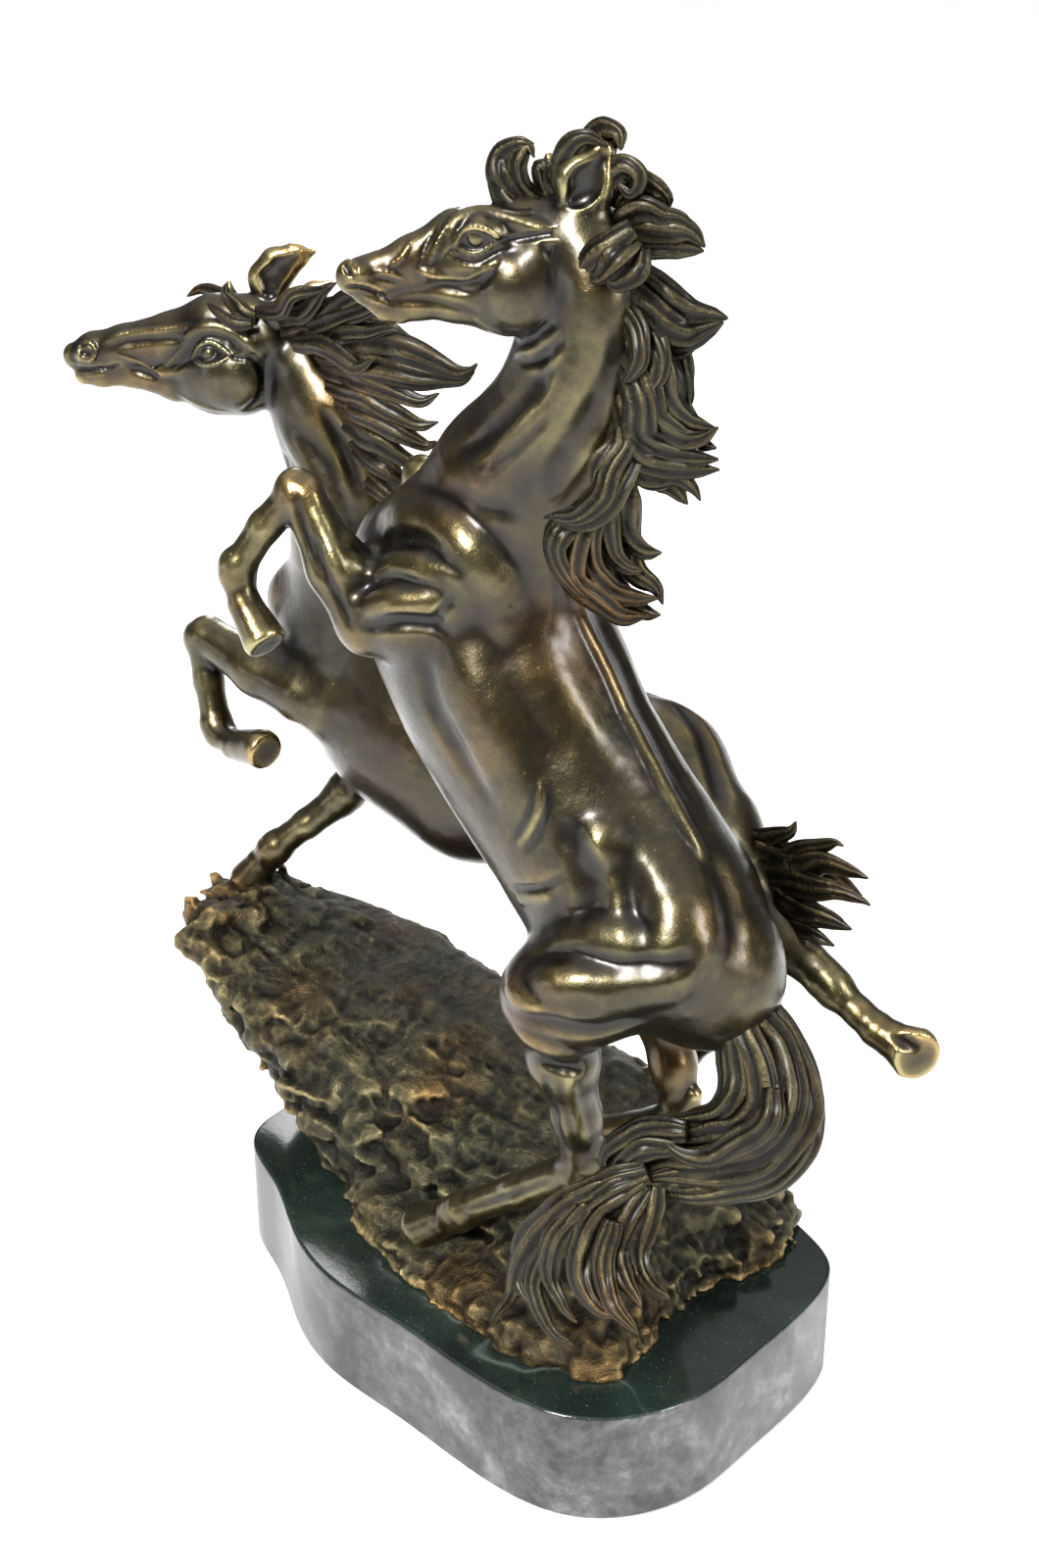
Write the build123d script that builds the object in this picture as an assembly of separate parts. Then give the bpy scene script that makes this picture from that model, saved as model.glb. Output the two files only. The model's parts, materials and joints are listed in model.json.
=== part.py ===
from build123d import *
import os

# Bronze group of two rearing stallions on a craggy rock, on a polished marble
# plinth. Lengths are in millimetres, +Z is up. The origin is on the table plane,
# under the middle of the plinth. The horses travel towards -X. The front stallion
# is on the -Y side and the rear stallion is on the +Y side.

os.makedirs("parts", exist_ok=True)

# ------------------------------------------------------------------ dimensions
FELT_T = 1.5            # thickness of the felt sheet
FELT_INSET = 3.0        # the felt stops this far inside the plinth edge
PLINTH_TOP = 41.0       # height of the polished top above the table
ARRIS_R = 1.2           # rounded top edge of the marble
STUD_D = 6.0            # M6 threaded rod
STUD_TOP = 56.0         # the rod ends inside the rock's boss at this height
STUD_LEN = 50.0
STUD_XY = [(-48.0, 10.0), (34.0, 12.0)]
CLEAR_D = 7.0           # drilled hole through the marble
CBORE_D = 22.0          # recess under the plinth for the nut
CBORE_TOP = 14.0        # roof of the recess above the table
WASHER_OD, WASHER_ID, WASHER_T = 12.0, 6.4, 1.6
NUT_AF, NUT_T = 10.0, 5.0
CORE_TOP = 55.0         # roof of the open core under the rock casting
CORE_WALL = 0.82        # the core's plan as a fraction of the rock's plan at its mouth
CORE_WALL_TOP = 0.74    # the same at its roof
BOSS_D = 16.0           # tapped boss inside the rock's core
TENON_LEN = 7.0         # Roman-joint tenon inside the mating casting
TENON_GAP = 0.15        # radial gap round a tenon in its socket

# Outline of the marble slab, an eight-sided cushion with rounded corners.
PLINTH_HALF = [(-109.3, -22.0), (-104.5, -36.0), (-79.0, -51.0), (-51.0, -68.5),
               (-27.0, -77.8), (7.5, -81.0), (50.0, -85.0), (80.0, -80.0),
               (96.0, -66.0), (104.5, -47.0), (106.5, -20.0)]
PLINTH_C = (-1.6, -1.0)

# Plan outlines of the rock at rising heights.
ROCK = {
    41: [(-84, -22), (-60, -38), (-35, -54), (-8, -64), (25, -70), (55, -69), (77, -62), (84, -41),
         (76, -10), (86, 20), (79, 50), (50, 60), (5, 64), (-45, 62), (-82, 48), (-95, 12)],
    47: [(-90, -25), (-64, -38), (-36, -50), (-9, -57), (24, -63), (54, -64), (74, -57), (80, -40),
         (73, -10), (83, 20), (77, 48), (48, 59), (4, 64), (-46, 63), (-86, 50), (-101, 13)],
    54: [(-99, -27), (-70, -36), (-42, -38), (-14, -34), (18, -44), (48, -56), (68, -49), (74, -36),
         (68, -8), (78, 20), (73, 45), (46, 57), (2, 63), (-48, 62), (-92, 51), (-110, 15)],
    63: [(-110, -29), (-80, -36), (-50, -36), (-20, -28), (10, -32), (38, -44), (58, -40), (63, -28),
         (58, -5), (64, 20), (58, 41), (36, 53), (-5, 61), (-55, 61), (-102, 52), (-122, 16)],
    75: [(-118, -30), (-98, -34), (-70, -31), (-45, -22), (-17, -14), (8, -14), (30, -8), (40, 2),
         (43, 14), (44, 25), (38, 38), (15, 50), (-20, 57), (-65, 59), (-112, 53), (-132, 15)],
    88: [(-124, -28), (-110, -32), (-92, -26), (-75, -15), (-55, -2), (-36, 4), (-20, 9), (-15, 17),
         (-13, 25), (-14, 33), (-20, 41), (-34, 49), (-56, 54), (-86, 56), (-120, 51), (-142, 14)],
    98: [(-150, -24), (-140, -28), (-122, -22), (-106, -10), (-97, 0), (-90, 8), (-84, 14), (-81, 20),
         (-80, 26), (-81, 31), (-84, 36), (-90, 41), (-98, 45), (-110, 47), (-135, 43), (-162, 11)],
    106: [(-154, -20), (-147, -23), (-137, -17), (-130, -9), (-124, 0), (-119, 6), (-116, 11), (-114, 16),
          (-114, 21), (-116, 26), (-119, 29), (-124, 32), (-131, 34), (-138, 34), (-150, 30), (-165, 9)],
    112: [(-154, -16), (-148, -18), (-142, -14), (-138, -9), (-135, -3), (-133, 2), (-132, 6), (-131, 10),
          (-131, 14), (-133, 17), (-135, 20), (-139, 22), (-144, 24), (-149, 24), (-155, 20), (-161, 6)],
}

# A station is (x, y, z, half-width across the horse, half-depth in the long plane).
FRONT_TORSO = [(76, -15, 170, 25, 27), (57, -15, 181.5, 30, 34), (37, -15, 202, 29, 33),
               (17.4, -15, 223, 29, 34), (1.7, -15, 245, 31, 36), (-12, -16, 266, 29, 35)]
FRONT_NECK = [(-9, -16.5, 278, 19, 32), (-2, -17, 292, 18.5, 30), (8.1, -18, 308, 17, 27), (17.5, -18.6, 321, 15, 24),
              (25.2, -19, 334, 13, 21), (30, -20, 349, 11.7, 18.5), (32.6, -20.6, 362, 11, 16.5), (33, -21.5, 374, 10, 14),
              (32, -22, 384, 9.5, 11.5)]
SEAM = (-0.1, 0, 1)     # normal of the flat butt joint between the front neck and torso
FRONT_HEAD = [(31, -20.5, 383, 8.5, 11.5), (22.5, -25, 378.5, 9.0, 14.0), (13.7, -29.5, 376.5, 8.6, 13.2),
              (3.8, -34.5, 376, 7.2, 10.0), (-10.9, -42, 373.0, 5.4, 7.4), (-21, -47.5, 369, 5.4, 6.6)]
REAR_TORSO = [(16, 46, 194, 24, 25), (1, 46, 188, 27, 29), (-28, 46, 176, 27, 29),
              (-63, 43, 174, 28, 31), (-90, 40, 188, 27, 33), (-106, 38, 203, 24, 31)]
REAR_NECK = [(-97, 38, 198, 19, 26), (-104, 37, 224, 18.5, 31), (-108.7, 34, 249.7, 15, 26), (-111.6, 31, 278.4, 12.5, 20.5),
             (-119.4, 28, 298.5, 11, 17), (-127, 26, 312, 9.5, 13.5)]
REAR_HEAD = [(-131, 25.5, 318, 8.5, 12.0), (-143, 21, 317, 9.0, 13.5), (-153, 15, 316, 8.4, 12.2),
             (-163, 9, 318, 6.9, 9.4), (-181.5, -1.5, 317.5, 5.4, 7.2), (-195, -7, 314.5, 5.4, 6.6)]


# --------------------------------------------------------------------- helpers
def unit(v):
    return v / v.length


def tangents(pts):
    out = []
    for i in range(len(pts)):
        a = pts[max(i - 1, 0)]
        b = pts[min(i + 1, len(pts) - 1)]
        out.append(unit(b - a))
    return out


def oval(p, t, side, deep, lateral):
    """A closed oval section at p, square to t, with its wide axis along lateral."""
    xd = lateral - t * lateral.dot(t)
    pl = Plane(origin=p, x_dir=unit(xd), z_dir=t)
    if abs(side - deep) < 1e-6:
        return pl * Circle(side)
    return pl * Ellipse(side, deep)


def tube(stations, dome0=True, dome1=True, lateral=(0, 1, 0), first=None):
    """Loft through round or oval sections, with rounded ends where asked. first is
    the normal of the first section where it isn't square to the run."""
    st = [(s[0], s[1], s[2], s[3], s[4] if len(s) > 4 else s[3]) for s in stations]
    pts = [Vector(*s[:3]) for s in st]
    tg = tangents(pts)
    if first:
        tg[0] = unit(Vector(*first))
    lat = Vector(*lateral)
    secs = []
    if dome0:
        m = min(st[0][3], st[0][4])
        for off, k in ((0.92, 0.40), (0.60, 0.80)):
            secs.append(oval(pts[0] - tg[0] * (m * off), tg[0], st[0][3] * k, st[0][4] * k, lat))
    for s, p, t in zip(st, pts, tg):
        secs.append(oval(p, t, s[3], s[4], lat))
    if dome1:
        m = min(st[-1][3], st[-1][4])
        for off, k in ((0.60, 0.80), (0.92, 0.40)):
            secs.append(oval(pts[-1] + tg[-1] * (m * off), tg[-1], st[-1][3] * k, st[-1][4] * k, lat))
    return loft([s.face() if hasattr(s, "face") else s for s in secs])


def frustum(a, b, ra, rb):
    """Straight tapered bar from a to b, such as a hoof or a lock's root."""
    a, b = Vector(*a), Vector(*b)
    t = unit(b - a)
    lat = Vector(0, 1, 0) if abs(t.Y) < 0.9 else Vector(1, 0, 0)
    return loft([oval(a, t, ra, ra, lat).face(), oval(b, t, rb, rb, lat).face()])


def limb(segments):
    """Join overlapping lofts into one casting."""
    return join(tube(segments[0]), *[tube(s) for s in segments[1:]])


def lock(root, mid, tip, r):
    """One tapered lock of hair that curls from root to tip."""
    return tube([(*root, r, r * 0.7), (*mid, r * 0.9, r * 0.6), (*tip, r * 0.30, r * 0.30)], dome0=True, dome1=False)


def peg(a, b, r):
    """Round peg or hole from a to b."""
    a, b = Vector(*a), Vector(*b)
    t = unit(b - a)
    lat = Vector(0, 1, 0) if abs(t.Y) < 0.9 else Vector(1, 0, 0)
    xd = unit(lat - t * lat.dot(t))
    return Plane(origin=a, x_dir=xd, z_dir=t) * Cylinder(r, (b - a).length, align=(Align.CENTER, Align.CENTER, Align.MIN))


def biggest(shape):
    """Keep the largest solid, so that a cut leaves no stray sliver."""
    return max(shape.solids(), key=lambda s: s.volume)


def faceted_volume(shape):
    """Volume enclosed by the triangulated surface."""
    verts, tris = shape.tessellate(0.15, 0.3)
    total = 0.0
    for i, j, k in tris:
        a, b, c = verts[i], verts[j], verts[k]
        total += a.dot(b.cross(c)) / 6
    return abs(total)


def sound(shape):
    """Valid, and its triangulated surface encloses the same volume as its exact one."""
    v = shape.is_valid
    v = v() if callable(v) else v
    if not v or not shape.solids():
        return False
    try:
        return all(abs(faceted_volume(s) - s.volume) < 0.07 * abs(s.volume) + 1 for s in shape.solids())
    except AttributeError:      # a face that cannot be triangulated
        return False


SHIFTS = [(0, 0, 0), (0.021, 0.013, -0.017), (-0.03, 0.02, 0.026), (0.05, -0.04, 0.03), (-0.08, 0.06, -0.05),
          (0.12, 0.1, 0.09), (-0.17, -0.13, 0.15), (0.3, 0.2, -0.25)]


def cut(shape, *tools, keep=0.3):
    """Trim a casting by its neighbours. A hair's breadth of shift is tried when the
    two surfaces meet too nearly tangent for a sound cut."""
    for t in tools:
        for s in SHIFTS:
            r = shape.moved(Location(s)) - t
            if r.solids():
                r = biggest(r)
                if sound(r) and r.volume > keep * shape.volume:
                    break
        shape = r
    return shape


def join(shape, *others):
    """Fuse overlapping masses of one casting, with the same safeguard."""
    for t in others:
        for s in SHIFTS:
            r = shape + t.moved(Location(s))
            if len(r.solids()) == 1 and sound(r) and r.volume > 0.999 * shape.volume:
                break
        shape = biggest(r)
    return shape


def seam_pegs(host, a, b, r):
    """A tenon on the joining casting and its wider socket in the host, on line a to b.
    a lies inside the host. The seam is where the line leaves the host."""
    a, b = Vector(*a), Vector(*b)
    t = unit(b - a)
    solid = biggest(host)
    k = 0.0
    while k < 90 and solid.is_inside(a + t * k):
        k += 0.5
    p0, p1, p2 = a + t * (k - TENON_LEN), a + t * (k + 2.5), a + t * (k - TENON_LEN - 0.5)
    tenon = peg(tuple(p0), tuple(p1), r)
    socket = peg(tuple(p2), tuple(a + t * (k + 6.0)), r + TENON_GAP)
    return tenon, socket


# ---------------------------------------------------------------- marble plinth
half2 = [(2 * PLINTH_C[0] - x, 2 * PLINTH_C[1] - y) for x, y in PLINTH_HALF]
outline = Spline(*[(x, y, FELT_T) for x, y in PLINTH_HALF + half2], periodic=True)
slab = extrude(make_face(Wire([outline])), amount=PLINTH_TOP - FELT_T, dir=(0, 0, 1))
top_edge = slab.edges().sort_by(Axis.Z)[-1]
slab = fillet(top_edge, ARRIS_R)
for x, y in STUD_XY:
    slab = slab - Pos(x, y, 0) * Cylinder(CLEAR_D / 2, 100)
    slab = slab - Pos(x, y, 0) * Cylinder(CBORE_D / 2, CBORE_TOP, align=(Align.CENTER, Align.CENTER, Align.MIN))
plinth = biggest(slab)


def shrink(pts, d):
    cx, cy = PLINTH_C
    out = []
    for x, y in pts:
        r = ((x - cx) ** 2 + (y - cy) ** 2) ** 0.5
        out.append((cx + (x - cx) * (r - d) / r, cy + (y - cy) * (r - d) / r))
    return out


felt_line = Spline(*[(x, y, 0) for x, y in shrink(PLINTH_HALF + half2, FELT_INSET)], periodic=True)
felt = biggest(extrude(make_face(Wire([felt_line])), amount=FELT_T, dir=(0, 0, 1)))

# -------------------------------------------------------------------- hardware
studs, washers, nuts = [], [], []
for x, y in STUD_XY:
    rod = Pos(x, y, STUD_TOP - STUD_LEN) * Cylinder(STUD_D / 2, STUD_LEN, align=(Align.CENTER, Align.CENTER, Align.MIN))
    rod = chamfer(rod.edges(), 0.6)
    studs.append(biggest(rod))
    ring = Pos(x, y, CBORE_TOP - WASHER_T) * (
        Cylinder(WASHER_OD / 2, WASHER_T, align=(Align.CENTER, Align.CENTER, Align.MIN))
        - Cylinder(WASHER_ID / 2, WASHER_T, align=(Align.CENTER, Align.CENTER, Align.MIN)))
    washers.append(biggest(ring))
    hexa = extrude(RegularPolygon(NUT_AF / 2, 6, major_radius=False), amount=NUT_T)
    hexa = hexa & (Pos(0, 0, 0) * Cone(NUT_AF / 2 + 4.5, NUT_AF / 2 + 0.1, NUT_T + 2.6, align=(Align.CENTER, Align.CENTER, Align.MIN)))
    hexa = hexa - Cylinder(STUD_D / 2, 40)
    nuts.append(biggest(Pos(x, y, CBORE_TOP - WASHER_T - NUT_T) * hexa))

# ------------------------------------------------------------------------ rock
sections = []
for z, pts in ROCK.items():
    sections.append(make_face(Polyline(*[(x, y, z) for x, y in pts], close=True)))
rock = loft(sections, ruled=True)
core_a = [(x * CORE_WALL, y * CORE_WALL, PLINTH_TOP) for x, y in ROCK[41]]
core_b = [(x * CORE_WALL_TOP, y * CORE_WALL_TOP, CORE_TOP) for x, y in ROCK[63]]
core = loft([make_face(Polyline(*core_a, close=True)), make_face(Polyline(*core_b, close=True))], ruled=True)
for x, y in STUD_XY:
    core = core - Pos(x, y, 0) * Cylinder(BOSS_D / 2, 200)
rock = rock - core
for x, y in STUD_XY:
    rock = rock - Pos(x, y, PLINTH_TOP) * Cylinder(STUD_D / 2, STUD_TOP - PLINTH_TOP + 1.0, align=(Align.CENTER, Align.CENTER, Align.MIN))

# -------------------------------------------------------------- front stallion
f_torso = tube(FRONT_TORSO, lateral=(0, -1, 0))
f_neck = tube(FRONT_NECK, dome0=False, first=SEAM)
f_head = tube(FRONT_HEAD, dome0=False, lateral=(-0.64, 0.77, 0))
f_jaw = tube([(24, -24, 366, 5.5, 6.5), (10, -31.5, 365.5, 4.6, 5.0), (-8, -41, 365.5, 3.4, 3.2)], lateral=(-0.64, 0.77, 0))
f_ears = [lock((24, -31, 388), (27, -34, 398), (31.5, -32, 407.0), 4.6),
          lock((29, -17, 390), (34, -12, 399), (38, -13, 406.0), 4.4)]
f_lock = [lock((19, -26, 388), (13, -27, 399), (8, -28, 406.5), 5.0),
          lock((26, -24, 391), (21, -25, 401), (17, -23, 408.0), 5.0)]
f_mane = tube([(40, -19, 396, 5, 8), (51, -16, 378, 6, 11), (54, -14, 352, 6.5, 13), (52, -13, 328, 7, 14),
               (44, -12, 306, 7, 14), (36, -11, 290, 6, 11)])
for root, mid, tip, r in [((42, -18, 392), (50, -16, 402), (56, -15, 409), 5.5),
                          ((53, -15, 376), (62, -13, 382), (69, -11, 386), 6.0),
                          ((56, -14, 360), (67, -12, 361), (76, -11, 365), 6.0),
                          ((56, -13, 338), (66, -12, 331), (76, -11, 334), 6.5),
                          ((50, -12, 322), (62, -12, 313), (72, -11, 318), 6.5),
                          ((42, -12, 302), (50, -13, 293), (58, -11, 296), 6.0),
                          ((36, -12, 294), (45, -15, 281), (54, -14, 277), 6.0)]:
    f_mane = join(f_mane, lock(root, mid, tip, r))

f_lf = join(limb([[(0, -20, 272, 10, 13), (-11, -32, 271, 10.5, 13.5), (-20, -41, 268, 9.5, 12), (-28, -46, 264.5, 8, 9.5)],
             [(-27.5, -46, 265, 8.5), (-38, -48, 281, 7.6), (-50.3, -50, 303, 6.3)],
             [(-50.3, -50, 303, 5.8), (-60.5, -56, 292, 4.4), (-68.5, -61, 277, 4.8)],
             [(-68.5, -61, 277, 4.3), (-66, -62, 268, 3.8), (-60, -62, 259.5, 4.6)]]),
            frustum((-62, -62, 263), (-54, -62, 252), 4.4, 6.6))
f_rf = join(limb([[(-6, -12, 268, 10, 12), (-20, 2, 268, 10, 13), (-31, 10, 265, 8.5, 11), (-40, 13, 262, 7.5, 9)],
             [(-39, 13, 262, 8), (-50, 15, 277, 7), (-60, 16, 290, 6.2)],
             [(-60, 16, 290, 5.8), (-67, 15, 280, 4.4), (-72, 14, 267, 4.8)],
             [(-72, 14, 267, 4.2), (-70, 13, 258, 3.8), (-65, 12, 251, 4.6)]]),
            frustum((-67, 12, 254), (-60, 12, 243), 4.4, 6.6))
f_lh = join(limb([[(72, -30, 182, 17, 21), (56, -41, 170, 13, 19), (45, -46.5, 162, 11, 15)],
             [(45, -46.5, 163, 12, 14.5), (48, -45, 141, 9.5, 11), (50, -40, 118, 7, 8.5), (50.5, -38, 99, 6.2, 7.2)],
             [(51, -38, 98, 6.2, 7.0), (38, -40, 87.5, 5.0, 5.6), (20, -43, 74.5, 4.9, 5.4), (6, -45, 63.5, 5.6)]]),
            frustum((9, -44.5, 66), (-9, -47.2, 49), 5.0, 8.2))
f_rh = join(limb([[(66, 2, 176, 15, 20), (50, 6, 162, 11, 18), (40, 7, 150, 9.5, 14)],
             [(40, 7, 151, 10, 13.5), (46, 8, 134, 8.5, 10), (53, 7, 114, 6.6, 8), (57, 6, 99, 6, 7)],
             [(57, 6, 98, 6.0, 6.8), (46, 5, 90, 5.0, 5.6), (34, 3, 83.5, 4.9, 5.4), (24, 2, 78.5, 5.5)]]),
            frustum((27, 2.3, 80), (9, -0.5, 70), 5.0, 8.0))
f_tail = join(limb([[(84, -15, 166, 7.5), (98, -16, 163.5, 8.5), (110.5, -18.5, 156, 9.2), (118, -22, 144, 9.6)],
               [(118, -22, 145, 9.6), (117, -26.5, 132, 10), (109, -30, 121.5, 10.8), (97, -33, 113, 11.4)],
               [(99, -32.6, 114.5, 11), (84, -37, 104, 12), (71, -42, 91, 11.8), (62, -46.5, 78, 10.6)],
               [(62, -46, 82, 10), (57, -53, 66, 9), (62, -60, 55, 7)]]),
              lock((112, -22, 147), (123, -28, 139), (129, -34, 138), 6.5),
              lock((70, -40, 94), (52, -50, 90), (38, -56, 84), 7.0))

# --------------------------------------------------------------- rear stallion
r_torso = tube(REAR_TORSO)
r_neck = tube(REAR_NECK, dome0=False)
r_head = tube(REAR_HEAD, dome0=False, lateral=(-0.45, 0.89, 0))
r_jaw = tube([(-137, 23.5, 306, 5.0, 6.0), (-151, 16, 306, 4.4, 4.8), (-170, 5, 309.5, 3.4, 3.2)], lateral=(-0.45, 0.89, 0))
r_ears = [lock((-134, 15, 328), (-132, 13, 338), (-122, 12, 349.5), 4.8),
          lock((-138, 28, 328), (-143, 30, 338), (-150, 30, 348.5), 4.6)]
r_lock = [lock((-143, 20, 328), (-152, 19, 331), (-160, 17, 334), 4.6)]
r_mane = tube([(-126, 22, 327, 5, 8), (-110, 26, 319, 6, 11), (-98, 29, 300, 7, 13), (-90, 32, 278, 7, 12),
               (-84, 35, 258, 6, 10)])
for root, mid, tip, r in [((-120, 22, 330), (-110, 21, 339), (-102, 21, 345), 5.5),
                          ((-108, 25, 322), (-95, 24, 333), (-84, 24, 339), 6.0),
                          ((-100, 27, 312), (-80, 25, 322), (-60, 24, 326), 6.5),
                          ((-94, 29, 300), (-78, 26, 308), (-62, 24, 309), 6.5),
                          ((-90, 31, 286), (-76, 28, 292), (-64, 25, 297), 6.0),
                          ((-88, 33, 270), (-74, 31, 275), (-64, 28, 281), 6.0)]:
    r_mane = join(r_mane, lock(root, mid, tip, r))

r_lf = join(limb([[(-88, 30, 194, 12, 16), (-100, 20.5, 196, 9.8, 13), (-113, 15, 198.5, 8, 10.5)],
             [(-109, 15.6, 198, 9.2), (-125, 13.5, 200.5, 8.6), (-145, 11.5, 204.5, 7.4), (-165, 10, 211, 6.3)],
             [(-165, 10, 211, 5.8), (-162.5, 8, 194, 4.6), (-156, 5, 178, 4.9)],
             [(-156.5, 5, 177, 4.2), (-149, 3.5, 174.6, 3.9), (-141, 2.3, 175.2, 4.3)]]),
            frustum((-145, 2.9, 174.4), (-122, 0, 180), 4.6, 7.0))
r_rf = join(limb([[(-92, 47, 186, 12, 15), (-104, 45, 174, 9.5, 12), (-115, 42, 161.5, 8, 9.5)],
             [(-114, 42.3, 162.5, 8.2), (-120.5, 35, 150, 6.6), (-131.5, 25, 138, 5.2), (-142, 18.5, 127, 5.6)]]),
            frustum((-140, 19.5, 129), (-153, 12.5, 110.5), 5.0, 7.8))
r_lh = join(limb([[(22, 40, 194, 15, 18), (42, 36.5, 184, 11, 15), (60, 34, 172.5, 9, 12)],
             [(58, 34, 174, 10, 12.5), (78, 30.5, 160, 7.5, 8.6), (97, 29, 151, 5.8, 6.4), (112, 29, 142, 5.8, 6.2)]]),
            frustum((109, 29, 144), (127.5, 30.5, 137.5), 5.4, 8.6))
r_rh = join(limb([[(14, 50, 186, 12, 15), (7, 57, 169, 10, 15), (4, 60, 152, 9, 13)],
             [(4, 60, 153, 9, 12.5), (15, 59, 134, 8, 9.5), (27, 57, 114, 6, 7.4), (34, 56, 99, 5.8, 6.6)],
             [(34, 56, 98, 5.8, 6.4), (29, 54, 89, 4.9, 5.2), (22, 50, 79, 5.2)]]),
            frustum((23, 50.5, 81), (13, 46, 70), 4.9, 7.2))
r_tail = tube([(34, 42, 193, 6), (48, 40, 191, 8), (66, 37, 187, 9, 12), (84, 33, 183, 9, 13), (97, 31, 183, 7, 9)])
for root, mid, tip, r in [((58, 38, 190), (68, 36, 197), (80, 33, 199), 5.5),
                          ((76, 35, 186), (87, 33, 194), (95, 32, 198), 6.0),
                          ((90, 32, 184), (101, 31, 188), (108, 30, 190), 6.5),
                          ((88, 32, 180), (98, 31, 175), (106, 31, 171), 6.5),
                          ((70, 36, 180), (80, 34, 170), (91, 32, 160), 6.0)]:
    r_tail = join(r_tail, lock(root, mid, tip, r))

# ------------------------------------------------- trim the castings to each other
f_head = join(f_head, f_jaw, *f_ears, *f_lock)
r_head = join(r_head, r_jaw, *r_ears, *r_lock)

F = {"torso": f_torso, "neck": f_neck, "head": f_head, "mane": f_mane, "left_foreleg": f_lf,
     "right_foreleg": f_rf, "left_hind_leg": f_lh, "right_hind_leg": f_rh, "tail": f_tail}
R = {"torso": r_torso, "neck": r_neck, "head": r_head, "mane": r_mane, "left_foreleg": r_lf,
     "right_foreleg": r_rf, "left_hind_leg": r_lh, "right_hind_leg": r_rh, "tail": r_tail}


def assemble(H, axes, seam=None):
    """Cut every casting to the one it is welded to, then add the Roman joints.
    seam is the plane of a flat butt joint between the neck and the torso."""
    raw_neck, raw_torso, raw_head = H["neck"], H["torso"], H["head"]
    if seam:
        o, n = seam
        pl = Plane(origin=Vector(*o), z_dir=unit(Vector(*n)))
        below = pl * Box(300, 300, 300, align=(Align.CENTER, Align.CENTER, Align.MAX))
        H["torso"] = biggest(raw_torso & below)
    else:
        H["neck"] = cut(H["neck"], raw_torso)
    H["head"] = cut(H["head"], raw_neck)
    H["mane"] = cut(H["mane"], raw_neck, raw_torso, H["head"])
    for k in ("left_foreleg", "right_foreleg"):
        H[k] = cut(H[k], raw_torso, raw_neck) if seam else cut(H[k], raw_torso)
    for k in ("left_hind_leg", "right_hind_leg", "tail"):
        H[k] = cut(H[k], raw_torso)
    H["tail"] = cut(H["tail"], H["left_hind_leg"])
    for k, (host, a, b, r) in axes.items():
        tenon, socket = seam_pegs(H[host], a, b, r)
        H[host] = cut(H[host], socket)
        H[k] = join(H[k], tenon)


assemble(F, {"neck": ("torso", (-11, -16.5, 268), (2, -17.5, 296), 7.0),
             "head": ("neck", (32, -21, 378), (12, -31, 376), 4.0),
             "left_foreleg": ("torso", (-4, -25, 271.5), (-20, -41, 268), 4.5),
             "right_foreleg": ("torso", (-12, -6, 268), (-31, 10, 265), 4.5),
             "left_hind_leg": ("torso", (66, -34, 178), (45, -46.5, 163), 5.0),
             "right_hind_leg": ("torso", (60, 3, 172), (40, 7.5, 151), 4.5),
             "tail": ("torso", (84, -15, 166.5), (104, -17, 160), 3.0)}, seam=(FRONT_NECK[0][:3], SEAM))
assemble(R, {"neck": ("torso", (-104, 38, 206), (-106, 36, 238), 7.0),
             "head": ("neck", (-124, 26.5, 314), (-148, 18, 316), 4.0),
             "left_foreleg": ("torso", (-88, 30, 194), (-110, 15, 198), 4.5),
             "right_foreleg": ("torso", (-92, 47, 186), (-114, 42, 162), 4.5),
             "left_hind_leg": ("torso", (22, 40, 194), (60, 34, 172.5), 5.0),
             "right_hind_leg": ("torso", (10, 55, 178), (4, 60, 152), 4.5),
             "tail": ("torso", (28, 43, 194), (50, 40, 191), 2.6)})

# The rock is the host of every hoof that stands on it and of the front tail's tip.
feet = [(F, "left_hind_leg", (-5, -46.5, 54), (-9, -47.2, 44)),
        (F, "right_hind_leg", (12, 0, 72), (6, -1.5, 60)),
        (R, "right_hind_leg", (14, 46.5, 71), (9, 44, 60)),
        (R, "right_foreleg", (-151, 13.5, 113), (-155, 11, 102))]
F["tail"] = cut(F["tail"], rock)
for H, k, a, b in feet:
    H[k] = cut(H[k], rock)
    H[k] = join(H[k], peg(a, b, 2.0))
    rock = rock - peg(a, (b[0] - (a[0] - b[0]) * 0.05, b[1], b[2] - 0.6), 2.0 + TENON_GAP)
rock = biggest(rock)

NODES = {"felt_pad": felt, "marble_plinth": plinth, "rock_base": rock,
         "mounting_studs": Compound(studs), "washers": Compound(washers), "hex_nuts": Compound(nuts)}
for k, s in F.items():
    NODES["front_stallion_" + k] = s
for k, s in R.items():
    NODES["rear_stallion_" + k] = s
for name, shape in NODES.items():
    print(name, len(shape.solids()), round(shape.volume, 1), "valid" if sound(shape) else "INVALID")
    export_step(shape, "parts/" + name + ".step")
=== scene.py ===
import bpy, math, random, json
import numpy as np
import openvdb
from mathutils import Vector, Matrix

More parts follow.
